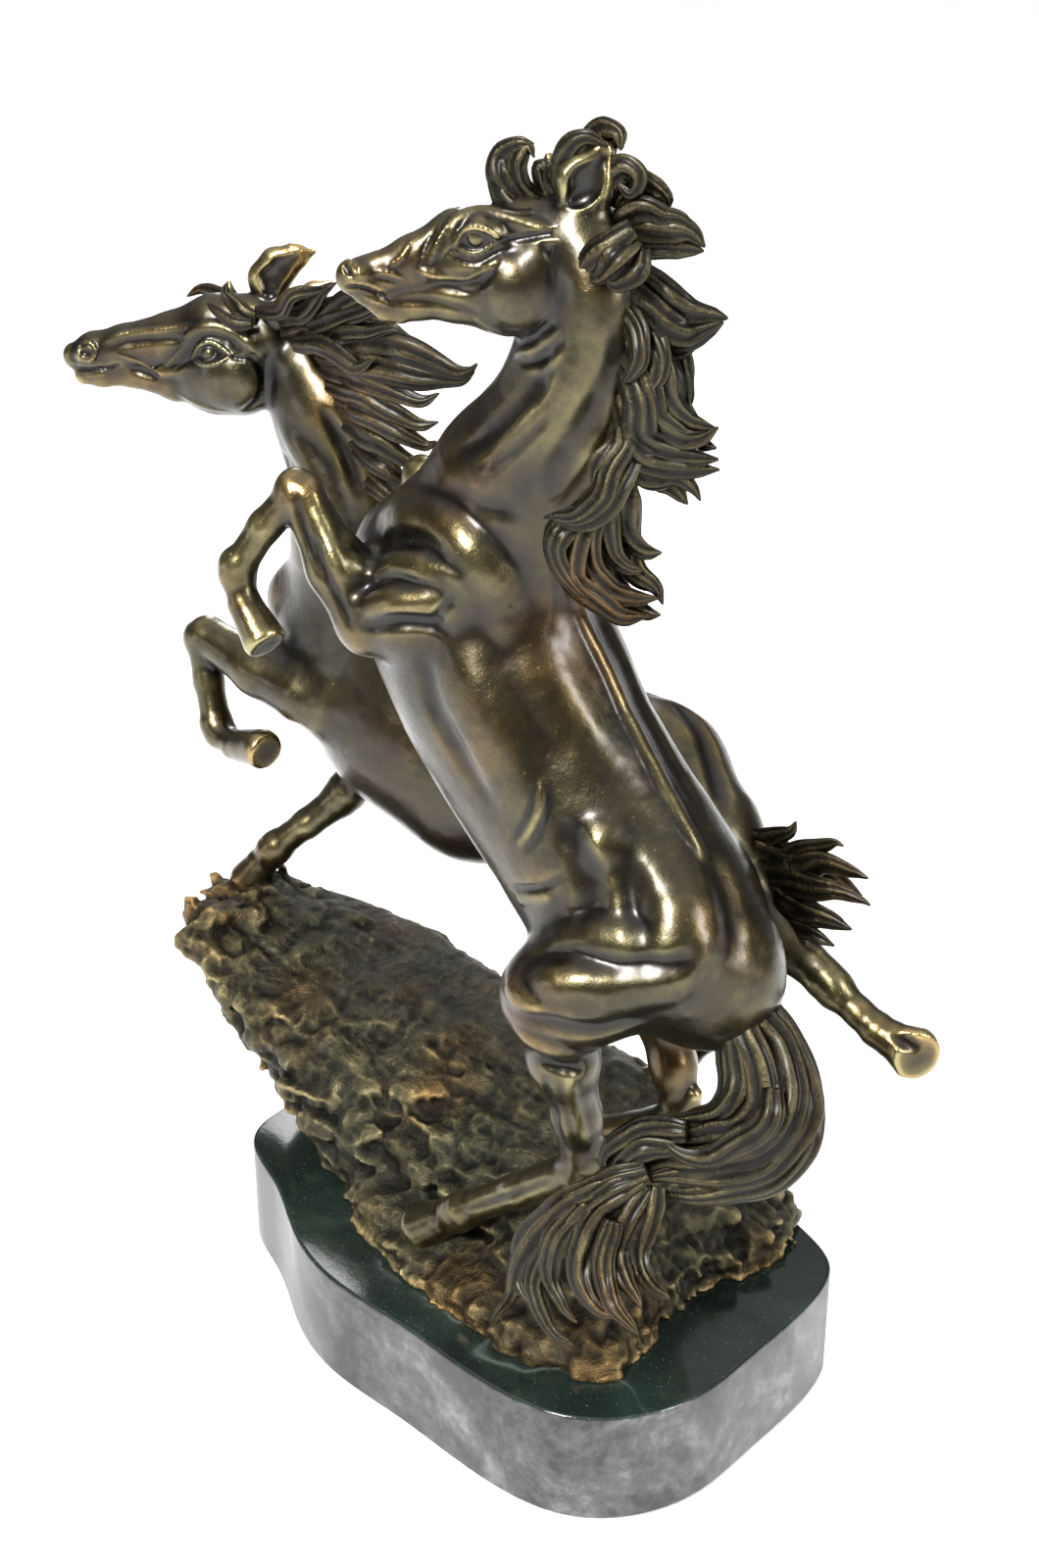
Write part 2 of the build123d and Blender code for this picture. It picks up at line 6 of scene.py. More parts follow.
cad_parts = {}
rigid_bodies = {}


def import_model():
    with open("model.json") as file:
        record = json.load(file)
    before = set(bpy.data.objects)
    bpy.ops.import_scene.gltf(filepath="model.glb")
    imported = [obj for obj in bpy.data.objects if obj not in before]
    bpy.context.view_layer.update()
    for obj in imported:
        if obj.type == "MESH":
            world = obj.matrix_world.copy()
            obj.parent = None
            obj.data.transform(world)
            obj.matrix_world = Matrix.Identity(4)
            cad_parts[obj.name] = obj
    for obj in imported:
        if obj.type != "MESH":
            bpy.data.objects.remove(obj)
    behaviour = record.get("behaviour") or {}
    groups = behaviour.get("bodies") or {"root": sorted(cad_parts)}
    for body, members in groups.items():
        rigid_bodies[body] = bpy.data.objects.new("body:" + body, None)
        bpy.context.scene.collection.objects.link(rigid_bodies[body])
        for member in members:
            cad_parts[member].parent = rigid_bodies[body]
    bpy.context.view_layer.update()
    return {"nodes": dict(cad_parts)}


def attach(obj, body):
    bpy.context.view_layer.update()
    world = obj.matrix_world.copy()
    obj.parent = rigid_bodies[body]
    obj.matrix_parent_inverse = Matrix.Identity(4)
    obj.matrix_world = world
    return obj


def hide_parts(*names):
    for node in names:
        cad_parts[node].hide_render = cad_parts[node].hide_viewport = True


# Bronze group of two rearing stallions on a rock and a marble plinth.
# Every mass is written in millimetres in the frame of the CAD parts and turned
# into metres when its mesh is made.

for old in list(bpy.data.objects):      # the start-up cube, light and camera
    bpy.data.objects.remove(old)
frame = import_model()
BIG = 20.0
f32 = np.float32


def V3(p):
    return np.array(p, f32)


# ------------------------------------------------------------------ field engine
class Field:
    def __init__(s, lo, hi, h):
        s.h = float(h)
        s.lo = np.array(lo, float)
        n = np.ceil((np.array(hi, float) - s.lo) / h).astype(int) + 1
        s.n = n
        s.ax = [(s.lo[i] + h * np.arange(n[i])).astype(f32) for i in range(3)]
        s.F = np.full(n, BIG, f32)
        s.m1 = np.full(n, BIG, f32)
        s.m2 = np.full(n, BIG, f32)
        s.l1 = np.full(n, 255, np.uint8)
        s.l2 = np.full(n, 255, np.uint8)

    def block(s, lo, hi):
        a = np.maximum(np.floor((np.array(lo) - s.lo) / s.h).astype(int), 0)
        b = np.minimum(np.ceil((np.array(hi) - s.lo) / s.h).astype(int) + 1, s.n)
        if (b <= a).any():
            return None
        return tuple(slice(int(i), int(j)) for i, j in zip(a, b))

    def axes(s, bl):
        return (s.ax[0][bl[0]][:, None, None], s.ax[1][bl[1]][None, :, None], s.ax[2][bl[2]][None, None, :])

    def sample(s, P, arr=None):
        arr = s.F if arr is None else arr
        q = (np.atleast_2d(P) - s.lo) / s.h
        q = np.clip(q, 0, np.array(arr.shape) - 1.001)
        i = q.astype(int)
        w = (q - i).astype(f32)
        out = 0
        for dx in (0, 1):
            for dy in (0, 1):
                for dz in (0, 1):
                    out = out + arr[i[:, 0] + dx, i[:, 1] + dy, i[:, 2] + dz] * \
                        (w[:, 0] if dx else 1 - w[:, 0]) * (w[:, 1] if dy else 1 - w[:, 1]) * (w[:, 2] if dz else 1 - w[:, 2])
        return out

    def grad(s, P, e=1.0):
        P = np.atleast_2d(P).astype(float)
        g = np.stack([s.sample(P + d) - s.sample(P - d) for d in np.eye(3) * e], 1)
        return g / (np.linalg.norm(g, axis=1)[:, None] + 1e-9)


    def meet(s, way, step=0.8):
        """First point of the surface along a line of sight."""
        o, d = way
        t = np.arange(300.0, 1100.0, step)
        P = o + d * t[:, None]
        hi = s.lo + s.h * (np.array(s.F.shape) - 1)
        ok = ((P > s.lo + s.h) & (P < hi - s.h)).all(1)
        if not ok.any():
            return None
        P = P[ok]
        v = s.sample(P)
        i = np.where(v < 0)[0]
        if len(i) == 0:
            return None
        i = int(i[0])
        if i == 0:
            return P[0]
        w = v[i - 1] / (v[i - 1] - v[i] + 1e-9)
        return P[i - 1] + (P[i] - P[i - 1]) * w


# The main viewpoint, in millimetres. Some strokes are given by where they are seen
# from there, as two numbers instead of three.
VIEW_F, VIEW_E, VIEW_A = 2200.0, math.radians(25.0), math.radians(39.5)
VIEW_R = np.array([math.cos(VIEW_A), math.sin(VIEW_A), 0.0])
VIEW_H = np.array([-math.sin(VIEW_A), math.cos(VIEW_A), 0.0])
VIEW_D = VIEW_H * math.cos(VIEW_E) - np.array([0, 0, math.sin(VIEW_E)])
VIEW_U = VIEW_H * math.sin(VIEW_E) + np.array([0, 0, math.cos(VIEW_E)])
VIEW_C = np.array([0.871 * 455.0, -1.0745 * 455.0, 496.0])


def sight(x, y):
    d = VIEW_D * VIEW_F + VIEW_R * (x - 530) - VIEW_U * (y - 800)
    return VIEW_C, d / np.linalg.norm(d)


def spline(P, step):
    """Evenly spaced points on a smooth curve through P."""
    P = np.asarray(P, float)
    Q = np.vstack([2 * P[0] - P[1], P, 2 * P[-1] - P[-2]])
    out = []
    for i in range(1, len(Q) - 2):
        n = max(2, int(np.linalg.norm(Q[i + 1] - Q[i]) / step * 2))
        t = np.linspace(0, 1, n, endpoint=False)[:, None]
        a, b, c, d = Q[i - 1], Q[i], Q[i + 1], Q[i + 2]
        out.append(0.5 * (2 * b + (c - a) * t + (2 * a - 5 * b + 4 * c - d) * t ** 2 + (3 * b - a - 3 * c + d) * t ** 3))
    out = np.vstack(out + [Q[-2:-1]])
    L = np.concatenate([[0], np.cumsum(np.linalg.norm(np.diff(out, axis=0), axis=1))])
    m = max(2, int(L[-1] / step) + 1)
    u = np.linspace(0, L[-1], m)
    return np.stack([np.interp(u, L, out[:, k]) for k in range(3)], 1)


def smin(a, b, k):
    h = np.maximum(k - np.abs(a - b), 0)
    return np.minimum(a, b) - h * h * f32(0.25 / k)


def smax(a, b, k):
    h = np.maximum(k - np.abs(a - b), 0)
    return np.maximum(a, b) + h * h * f32(0.25 / k)


def squeeze(p, sq):
    if sq is None:
        return np.array(p, float)
    c, l, s = np.array(sq[0], float), np.array(sq[1], float), sq[2]
    p = np.array(p, float)
    return p + (s - 1) * np.dot(p - c, l) * l


def d_cone(ax, a, b, ra, rb, sq=None):
    X, Y, Z = ax
    if sq is not None:
        c, l, s = sq
        if abs(l[0]) + abs(l[2]) < 1e-6:
            Y = c[1] + (Y - c[1]) * f32(s)
        else:
            t = ((X - c[0]) * l[0] + (Y - c[1]) * l[1] + (Z - c[2]) * l[2]) * f32(s - 1)
            X, Y, Z = X + t * f32(l[0]), Y + t * f32(l[1]), Z + t * f32(l[2])
        a, b = squeeze(a, sq), squeeze(b, sq)
    a = np.array(a, float)
    ba = np.array(b, float) - a
    L = float(ba @ ba) + 1e-6
    px, py, pz = X - f32(a[0]), Y - f32(a[1]), Z - f32(a[2])
    t = np.clip((px * f32(ba[0]) + py * f32(ba[1]) + pz * f32(ba[2])) / f32(L), 0, 1)
    dx, dy, dz = px - t * f32(ba[0]), py - t * f32(ba[1]), pz - t * f32(ba[2])
    return np.sqrt(dx * dx + dy * dy + dz * dz) - (f32(ra) + t * f32(rb - ra))


def lattice(ax, scale, seed):
    """Smooth value noise on the block, from -1 to 1."""
    r = np.random.default_rng(seed)
    R = r.uniform(-1, 1, (48, 48, 48)).astype(f32)
    A = R
    for d in range(3):
        v = np.asarray(ax[d], f32).ravel() / scale + 1000.0 + 7.3 * d
        i = np.floor(v).astype(int)
        u = (v - i).astype(f32)
        u = u * u * (3 - 2 * u)
        i0, i1 = i % 48, (i + 1) % 48
        sh = [1, 1, 1]
        sh[d] = -1
        u = u.reshape(sh)
        A = np.take(A, i0, axis=d) * (1 - u) + np.take(A, i1, axis=d) * u
    return A


def fbm(ax, scale, seed, octaves=3, gain=0.5):
    out, amp = 0, 1.0
    for o in range(octaves):
        out = out + lattice(ax, scale / 2 ** o, seed + o) * f32(amp)
        amp *= gain
    return out


def blur(A, n):
    for _ in range(n):
        for d in range(3):
            B = A.copy()
            s0 = [slice(None)] * 3
            s1 = [slice(None)] * 3
            s2 = [slice(None)] * 3
            s0[d], s1[d], s2[d] = slice(1, -1), slice(0, -2), slice(2, None)
            B[tuple(s0)] = A[tuple(s0)] * f32(0.5) + (A[tuple(s1)] + A[tuple(s2)]) * f32(0.25)
            A = B
    return A


# ------------------------------------------------------------------- mesh making
def new_object(name, verts_mm, quads, cav=None, cavb=None, smooth=True):
    me = bpy.data.meshes.new(name)
    n, m = len(verts_mm), len(quads)
    me.vertices.add(n)
    me.vertices.foreach_set("co", (np.asarray(verts_mm, float) * 0.001).astype(f32).ravel())
    k = quads.shape[1]
    me.loops.add(m * k)
    me.loops.foreach_set("vertex_index", np.asarray(quads, np.int32).ravel())
    me.polygons.add(m)
    me.polygons.foreach_set("loop_start", np.arange(0, m * k, k, dtype=np.int32))
    me.polygons.foreach_set("loop_total", np.full(m, k, np.int32))
    me.update(calc_edges=True)
    me.validate()
    if smooth:
        me.polygons.foreach_set("use_smooth", np.ones(len(me.polygons), bool))
    for nm, a in (("cav", cav), ("cavb", cavb)):
        at = me.attributes.new(nm, "FLOAT", "POINT")
        at.data.foreach_set("value", (np.zeros(n) if a is None else a).astype(f32))
    ob = bpy.data.objects.new(name, me)
    bpy.context.scene.collection.objects.link(ob)
    return ob


def surface(name, G, lo, h, detail=None, mat=None):
    """Mesh of the zero surface of a block. detail is the field whose curvature
    tells ridges from hollows."""
    G = np.clip(G, -3 * h, 3 * h).astype(f32)
    for d in range(3):
        s = [slice(None)] * 3
        for e in (0, -1):
            s[d] = e
            G[tuple(s)] = 3 * h
    g = openvdb.FloatGrid(3 * h)
    g.copyFromArray(np.ascontiguousarray(G))
    pts, quads = g.convertToQuads(0.0)
    pts = np.asarray(pts, float) * h + np.asarray(lo, float)
    quads = np.asarray(quads, np.int64)
    # keep the winding outward
    a, b, c = pts[quads[:, 0]], pts[quads[:, 1]], pts[quads[:, 2]]
    nrm = np.cross(b - a, c - a)
    if (np.einsum("ij,ij->i", a - pts.mean(0), nrm).sum()) < 0:
        quads = quads[:, ::-1]
    D = G if detail is None else detail
    D = np.clip(D, -6, 6)
    fl = Field.__new__(Field)
    fl.h, fl.lo = h, np.asarray(lo, float)
    n1 = max(1, int(round((0.7 / h) ** 2 * 2)))
    b1 = blur(D, n1)
    n2 = max(2, int(round((2.2 / h) ** 2 * 2)))
    n2 = min(n2, 22)
    b2 = blur(b1, n2)
    # fine and broad measures of how far a point stands out or sinks in; the bronze paints highlight on ridges and
    # shade in hollows from them
    cav = Field.sample(fl, pts, b1 - D)
    cavb = Field.sample(fl, pts, b2 - b1)
    ob = new_object(name, pts, quads, cav, cavb)
    if mat is not None:
        ob.data.materials.append(mat)
    return ob


# --------------------------------------------------------------- anatomy builder
def build(parts, lo, hi, h, strokes=None, ops=None, noise=0.17, into=None):
    """parts: list of (label, join_k, prims). Returns the field and the resolved list
    of ridge and crease operations. into is a field that is worked on further."""
    fl = into or Field(lo, hi, h)
    if into:
        noise = 0
    for li, (pname, jk, prims, *soles) in enumerate(parts):
        los, his = [], []
        for pr in prims:
            a, b, ra, rb = V3(pr[0]), V3(pr[1]), pr[2], pr[3]
            r = max(ra, rb) + 9
            los.append(np.minimum(a, b) - r)
            his.append(np.maximum(a, b) + r)
        bl = fl.block(np.min(los, 0), np.max(his, 0))
        if bl is None:
            continue
        sh = tuple(s.stop - s.start for s in bl)
        P = np.full(sh, BIG, f32)
        o = [s.start for s in bl]
        for pr, l, u in zip(prims, los, his):
            b2 = fl.block(l, u)
            if b2 is None:
                continue
            d = d_cone(fl.axes(b2), pr[0], pr[1], pr[2], pr[3], pr[5] if len(pr) > 5 else None)
            loc = tuple(slice(s.start - q, s.stop - q) for s, q in zip(b2, o))
            P[loc] = smin(P[loc], d, f32(pr[4])) if pr[4] > 0 else smax(P[loc], -d, f32(-pr[4]))
        for c, nrm, r in (soles[0] if soles else ()):     # flat undersides of the hooves
            b2 = fl.block(V3(c) - r, V3(c) + r)
            if b2 is None:
                continue
            loc = tuple(slice(max(s.start - q, 0), max(min(s.stop - q, w), 0)) for s, q, w in zip(b2, o, sh))
            if any(s.stop <= s.start for s in loc):
                continue
            b3 = tuple(slice(s.start + q, s.stop + q) for s, q in zip(loc, o))
            X, Y, Z = fl.axes(b3)
            pl = (X - f32(c[0])) * f32(nrm[0]) + (Y - f32(c[1])) * f32(nrm[1]) + (Z - f32(c[2])) * f32(nrm[2])
            P[loc] = smax(P[loc], pl, f32(1.0))
        F = fl.F[bl]
        fl.F[bl] = smin(F, P, f32(jk))
        m1, m2, l1, l2 = fl.m1[bl], fl.m2[bl], fl.l1[bl], fl.l2[bl]
        c1 = P < m1
        c2 = (~c1) & (P < m2)
        m2n = np.where(c1, m1, np.where(c2, P, m2))
        l2n = np.where(c1, l1, np.where(c2, li, l2)).astype(np.uint8)
        fl.m2[bl], fl.l2[bl] = m2n, l2n
        fl.m1[bl] = np.where(c1, P, m1)
        fl.l1[bl] = np.where(c1, li, l1).astype(np.uint8)
    if ops is None:
        ops = []
        for st in strokes or []:
            pts, rad, hgt, k = st[0], st[1], st[2], st[3]
            if len(pts[0]) == 2:
                P = [fl.meet(sight(x, y)) for x, y in pts]
                P = np.array([p for p in P if p is not None], float)
                if len(P) < len(pts) and len(P) < 2:
                    print("stroke off the surface", pts)
                    continue
            else:
                P = np.array(pts, float)
            if len(P) > 2:
                P = spline(P, 1.2 + 0.5 * rad)
            for _ in range(3):
                P = P - fl.grad(P) * np.clip(fl.sample(P), -2.5, 2.5)[:, None]
            N = fl.grad(P, 1.5)
            n = len(P)
            t = np.linspace(0, 1, n) if n > 1 else np.array([0.5])
            prof = np.sin(np.pi * np.clip(t * 0.86 + 0.07, 0, 1)) ** 0.6 if n > 2 else np.ones(n)
            rr = rad * (0.55 + 0.45 * prof)
            hh = hgt * prof
            e = 2 * np.sqrt(k * np.abs(hh)) - k      # how far the tool stands out of the skin
            C = P - N * (rr - e)[:, None] if hgt > 0 else P + N * (rr - e)[:, None]
            new = []
            if n == 1:
                new.append((1 if hgt > 0 else 0, C[0], C[0], rr[0], rr[0], k))
            for i in range(n - 1):
                new.append((1 if hgt > 0 else 0, C[i], C[i + 1], rr[i], rr[i + 1], k))
            for op in new:
                apply_op(fl, op)
            ops += new
    else:
        for op in ops:
            apply_op(fl, op)
    if noise:
        fl.F += fbm([fl.ax[0], fl.ax[1], fl.ax[2]], 9.0, 5, 3) * f32(noise)
    return fl, ops


def apply_op(fl, op):
    add, a, b, ra, rb, k = op
    r = max(ra, rb) + k + 2.5 * fl.h + 1.0
    bl = fl.block(np.minimum(a, b) - r, np.maximum(a, b) + r)
    if bl is None:
        return
    d = d_cone(fl.axes(bl), a, b, ra, rb)
    F = fl.F[bl]
    fl.F[bl] = smin(F, d, f32(k)) if add else smax(F, -d, f32(k))


def piece_block(fl, li, w=1.6):
    m = ((fl.l1 == li) & (fl.m1 < 4)) | ((fl.l2 == li) & (fl.m2 < 3))
    idx = [np.where(m.any(axis=tuple(j for j in range(3) if j != d)))[0] for d in range(3)]
    bl = tuple(slice(max(int(i[0]) - 3, 0), int(i[-1]) + 4) for i in idx)
    F, m1, m2, l1, l2 = fl.F[bl], fl.m1[bl], fl.m2[bl], fl.l1[bl], fl.l2[bl]
    d = np.where(l1 == li, (m1 - m2) * f32(0.5), np.where(l2 == li, (m2 - m1) * f32(0.5), f32(BIG)))
    dive = np.maximum(d, 0)
    G = smax(F + dive * dive * f32(0.14), d - f32(w), f32(0.4))
    lo = fl.lo + np.array([s.start for s in bl]) * fl.h
    return G, F, lo


# ------------------------------------------------------------------ hair and rock
def hair(name, locks, lateral=(0, 1, 0), seed=1, mat=None, step=0.9, wave=0.9):
    """Every lock is a closed, tapered, fluted strand swept along a smooth curve."""
    rng = np.random.default_rng(seed)
    VV, QQ, CC, n0 = [], [], [], 0
    lateral = np.array(lateral, float)
    for li, (pts, w, flat) in enumerate(locks):
        P = spline(pts, step * (1.0))
        n = len(P)
        # a slow wave, with a quicker one on it, that starts at the root
        L = np.linspace(0, n * step * (1.0), n)
        u = np.clip(L / 14.0, 0, 1)[:, None]
        d1 = rng.normal(size=3)
        d2 = rng.normal(size=3)
        d1, d2 = d1 / np.linalg.norm(d1), d2 / np.linalg.norm(d2)
        P = P + u * wave * (d1 * np.sin(L / rng.uniform(5.0, 7.5) + rng.uniform(0, 6))[:, None]
                            + 0.5 * d2 * np.sin(L / rng.uniform(2.6, 3.6) + rng.uniform(0, 6))[:, None])
        T = np.gradient(P, axis=0)
        T /= np.linalg.norm(T, axis=1)[:, None] + 1e-9
        N = lateral - T * (T @ lateral)[:, None]
        nn = np.linalg.norm(N, axis=1)[:, None]
        N = N / (nn + 1e-9)
        for i in range(1, n):           # keep the frame steady where the lock turns edge on
            if nn[i] < 0.35:
                q = N[i - 1] - T[i] * (T[i] @ N[i - 1])
                N[i] = q / (np.linalg.norm(q) + 1e-9)
        B = np.cross(T, N)
        m = 36
        th = np.linspace(0, 2 * np.pi, m, endpoint=False)
        t = np.linspace(0, 1, n)
        wid = w * np.interp(t, [0, 0.12, 0.4, 0.7, 0.9, 1], [0.72, 0.92, 1.0, 0.80, 0.42, 0.07])
        wid *= 1 + 0.06 * np.sin(t * rng.uniform(7, 12) + rng.uniform(0, 6))
        lobes = int(rng.integers(5, 8)) if w > 4 else 5
        twist = rng.uniform(-1.1, 1.1) * t + rng.uniform(0, 3)
        wob = 0.46 * np.sin(t[:, None] * rng.uniform(5, 9) + rng.uniform(0, 6)) * np.sin(th[None, :] * 2 + rng.uniform(0, 6))
        wob = wob + 0.22 * np.sin(th[None, :] + rng.uniform(0, 6)) * lobes / 4
        a = th[None, :] * lobes / 2 + twist[:, None] + wob
        ridge = np.abs(np.sin(a))
        which = np.floor(a / np.pi).astype(int)
        hgt = rng.uniform(-1, 1, 64)[which % 64]
        rad = 0.70 + 0.30 * ridge ** 1.3 + 0.13 * hgt * ridge
        fine = 0.034 * np.sin(th[None, :] * 17 + 5 * twist[:, None] + 2.0 * wob)
        rad = rad + fine
        x = np.cos(th)[None, :] * rad * wid[:, None]
        y = np.sin(th)[None, :] * rad * wid[:, None] * flat
        V = P[:, None, :] + B[:, None, :] * x[..., None] + N[:, None, :] * y[..., None]
        i = np.arange(n - 1)[:, None] * m
        j = np.arange(m)[None, :]
        j2 = (j + 1) % m
        q = np.stack([i + j, i + j2, i + m + j2, i + m + j], -1).reshape(-1, 4)
        caps = []
        for base, flip in ((0, True), ((n - 1) * m, False)):
            for k in range(m // 2 - 1):
                c = [base + k, base + k + 1, base + m - 2 - k, base + m - 1 - k]
                caps.append(c[::-1] if flip else c)
        q = np.vstack([q, np.array(caps)])
        # outward winding
        Vf = V.reshape(-1, 3)
        mid = Vf[q[:(n - 1) * m]].mean(1)
        nr = np.cross(Vf[q[:(n - 1) * m, 1]] - Vf[q[:(n - 1) * m, 0]], Vf[q[:(n - 1) * m, 3]] - Vf[q[:(n - 1) * m, 0]])
        ctr = np.repeat(P[:-1], m, axis=0)
        if np.einsum("ij,ij->i", nr, mid - ctr).sum() < 0:
            q = q[:, ::-1]
        VV.append(Vf)
        QQ.append(q + n0)
        # flute crests get a lighter base colour and the grooves a darker one: painted highlight and painted shade,
        # with patina
        CC.append(((ridge - 0.62) * 1.15 + fine * 6).ravel())
        n0 += len(Vf)
    V, Q, Cc = np.vstack(VV), np.vstack(QQ), np.concatenate(CC)
    ob = new_object(name, V, Q, Cc * 0.30, Cc * 0.0)
    if mat is not None:
        ob.data.materials.append(mat)
    return ob


def polygon_field(ax, ay, poly):
    """Signed distance to a closed polygon on a plan grid."""
    X, Y = ax[:, None], ay[None, :]
    d = np.full((len(ax), len(ay)), 1e9)
    ins = np.zeros((len(ax), len(ay)), bool)
    n = len(poly)
    for i in range(n):
        (x0, y0), (x1, y1) = poly[i], poly[(i + 1) % n]
        ex, ey = x1 - x0, y1 - y0
        t = np.clip(((X - x0) * ex + (Y - y0) * ey) / (ex * ex + ey * ey + 1e-9), 0, 1)
        d = np.minimum(d, (X - x0 - t * ex) ** 2 + (Y - y0 - t * ey) ** 2)
        c = (y0 > Y) != (y1 > Y)
        with np.errstate(divide="ignore", invalid="ignore"):
            xi = x0 + (Y - y0) * ex / (ey if abs(ey) > 1e-9 else 1e-9)
        ins ^= c & (X < xi)
    return np.where(ins, -1, 1) * np.sqrt(d)


def make_rock(ROCK, pads, h, mat, lumps=()):
    lo, hi = (-172, -78, 39.5), (96, 72, 122)
    fl = Field(lo, hi, h)
    zs = sorted(ROCK)
    az = fl.ax[2]
    F = np.empty(tuple(fl.n), f32)
    for k, z in enumerate(az):
        zc = min(max(float(z), zs[0]), zs[-1])
        i = max(j for j in range(len(zs)) if zs[j] <= zc)
        i2 = min(i + 1, len(zs) - 1)
        w = 0.0 if i2 == i else (zc - zs[i]) / (zs[i2] - zs[i])
        P = np.array(ROCK[zs[i]], float) * (1 - w) + np.array(ROCK[zs[i2]], float) * w
        F[:, :, k] = polygon_field(fl.ax[0], fl.ax[1], P)
    Z = az[None, None, :]
    F = np.clip(F, -14, 14)
    F = blur(F, int(round(3.0 / h)))
    F = smax(F * f32(0.8), (Z - f32(zs[-1])), f32(5))
    ax = [fl.ax[0], fl.ax[1], fl.ax[2]]
    big = lattice(ax, 26.0, 31)
    mid = lattice(ax, 11.0, 32)
    F += big * f32(2.4)
    F += (np.abs(mid) * f32(-4.2) + f32(1.5))
    # broken facets: the cells of a coarse pattern step in and out
    c1 = lattice([ax[0] * f32(0.6), ax[1], ax[2]], 6.5, 35)
    F += (np.abs(c1) - f32(0.35)) * f32(2.9)
    led = lattice([ax[0] * f32(0.22), ax[1] * f32(0.30), ax[2]], 5.0, 38)
    F += led * f32(1.15)
    c2 = lattice([ax[0] * f32(0.7), ax[1], ax[2]], 3.1, 36)
    F += (np.abs(c2) - f32(0.35)) * f32(1.1)
    F += lattice(ax, 1.7, 37) * f32(0.18)
    fl.F = F
    for c, r, out in lumps:
        if len(c) == 2:
            p = fl.meet(sight(*c))
            if p is None:
                continue
        else:                       # walk in to the nearest skin
            p = np.array(c, float)
            for _ in range(12):
                p = p - fl.grad(p)[0] * float(np.clip(fl.sample(p)[0], -5, 5)) * 0.8
        if abs(fl.sample(p)[0]) > 1.5:
            continue
        nrm = fl.grad(p, 2.0)[0]
        q = p - nrm * r * (0.8 - out * 0.5)
        bl = fl.block(q - r - 4, q + r + 4)
        if bl is None:
            continue
        d = d_cone(fl.axes(bl), q, q + np.array([r * 0.8, r * 0.3, 0.0]), r, r * 0.7)
        F[bl] = smin(F[bl], d, f32(2.2)) if out > -0.2 else smax(F[bl], -d - f32(r * 0.35), f32(1.2))
    F += (np.abs(lattice(ax, 4.2, 43)) - f32(0.35)) * f32(0.9)
    F += lattice(ax, 2.2, 41) * f32(0.24)
    for (x, y, z), r, up in pads:
        bl = fl.block((x - r - 9, y - r - 9, z - r - 9), (x + r + 9, y + r + 9, z + r + 9))
        d = d_cone(fl.axes(bl), (x, y, z), (x, y, z - 6), r, r + 2)
        fl_part = F[bl]
        F[bl] = smin(fl_part, d, f32(4))
    F = smax(F, f32(41.0) - Z, f32(0.5))
    fl.F = F
    return fl, surface("rock", F, fl.lo, h, mat=mat)


# --------------------------------------------------------------------- materials
def nodes_of(name):
    m = bpy.data.materials.new(name)
    m.use_nodes = True
    nt = m.node_tree
    nt.nodes.clear()
    out = nt.nodes.new("ShaderNodeOutputMaterial")
    bs = nt.nodes.new("ShaderNodeBsdfPrincipled")
    nt.links.new(bs.outputs[0], out.inputs[0])
    return m, nt, bs


def math_node(nt, op, a, b=None, clamp=False):
    n = nt.nodes.new("ShaderNodeMath")
    n.operation = op
    n.use_clamp = clamp
    for i, v in enumerate((a, b)):
        if v is None:
            continue
        if isinstance(v, (int, float)):
            n.inputs[i].default_value = v
        else:
            nt.links.new(v, n.inputs[i])
    return n.outputs[0]


def noise_node(nt, co, scale, detail=3.0, rough=0.55, distortion=0.0):
    n = nt.nodes.new("ShaderNodeTexNoise")
    nt.links.new(co, n.inputs["Vector"])
    n.inputs["Scale"].default_value = scale
    n.inputs["Detail"].default_value = detail
    n.inputs["Roughness"].default_value = rough
    n.inputs["Distortion"].default_value = distortion
    return n.outputs["Fac"]


def ramp_node(nt, fac, stops, interp="LINEAR"):
    n = nt.nodes.new("ShaderNodeValToRGB")
    n.color_ramp.interpolation = interp
    e = n.color_ramp.elements
    while len(e) < len(stops):
        e.new(0.5)
    for el, (p, c) in zip(e, stops):
        el.position = p
        el.color = (*c, 1.0) if len(c) == 3 else c
    nt.links.new(fac, n.inputs[0])
    return n.outputs[0]


def mix_node(nt, fac, a, b, mode="MIX"):
    n = nt.nodes.new("ShaderNodeMix")
    n.data_type = "RGBA"
    n.blend_type = mode
    for sock, v in ((n.inputs[0], fac), (n.inputs[6], a), (n.inputs[7], b)):
        if isinstance(v, (int, float)):
            sock.default_value = v
        elif isinstance(v, tuple):
            sock.default_value = (*v, 1.0)
        else:
            nt.links.new(v, sock)
    return n.outputs[2]


def bump_node(nt, h, strength, dist, nrm=None):
    n = nt.nodes.new("ShaderNodeBump")
    n.inputs["Strength"].default_value = strength
    n.inputs["Distance"].default_value = dist
    nt.links.new(h, n.inputs["Height"])
    if nrm is not None:
        nt.links.new(nrm, n.inputs["Normal"])
    return n.outputs[0]


def attr_node(nt, name):
    n = nt.nodes.new("ShaderNodeAttribute")
    n.attribute_name = name
    return n.outputs["Fac"]


def coords(nt):
    return nt.nodes.new("ShaderNodeTexCoord").outputs["Object"]


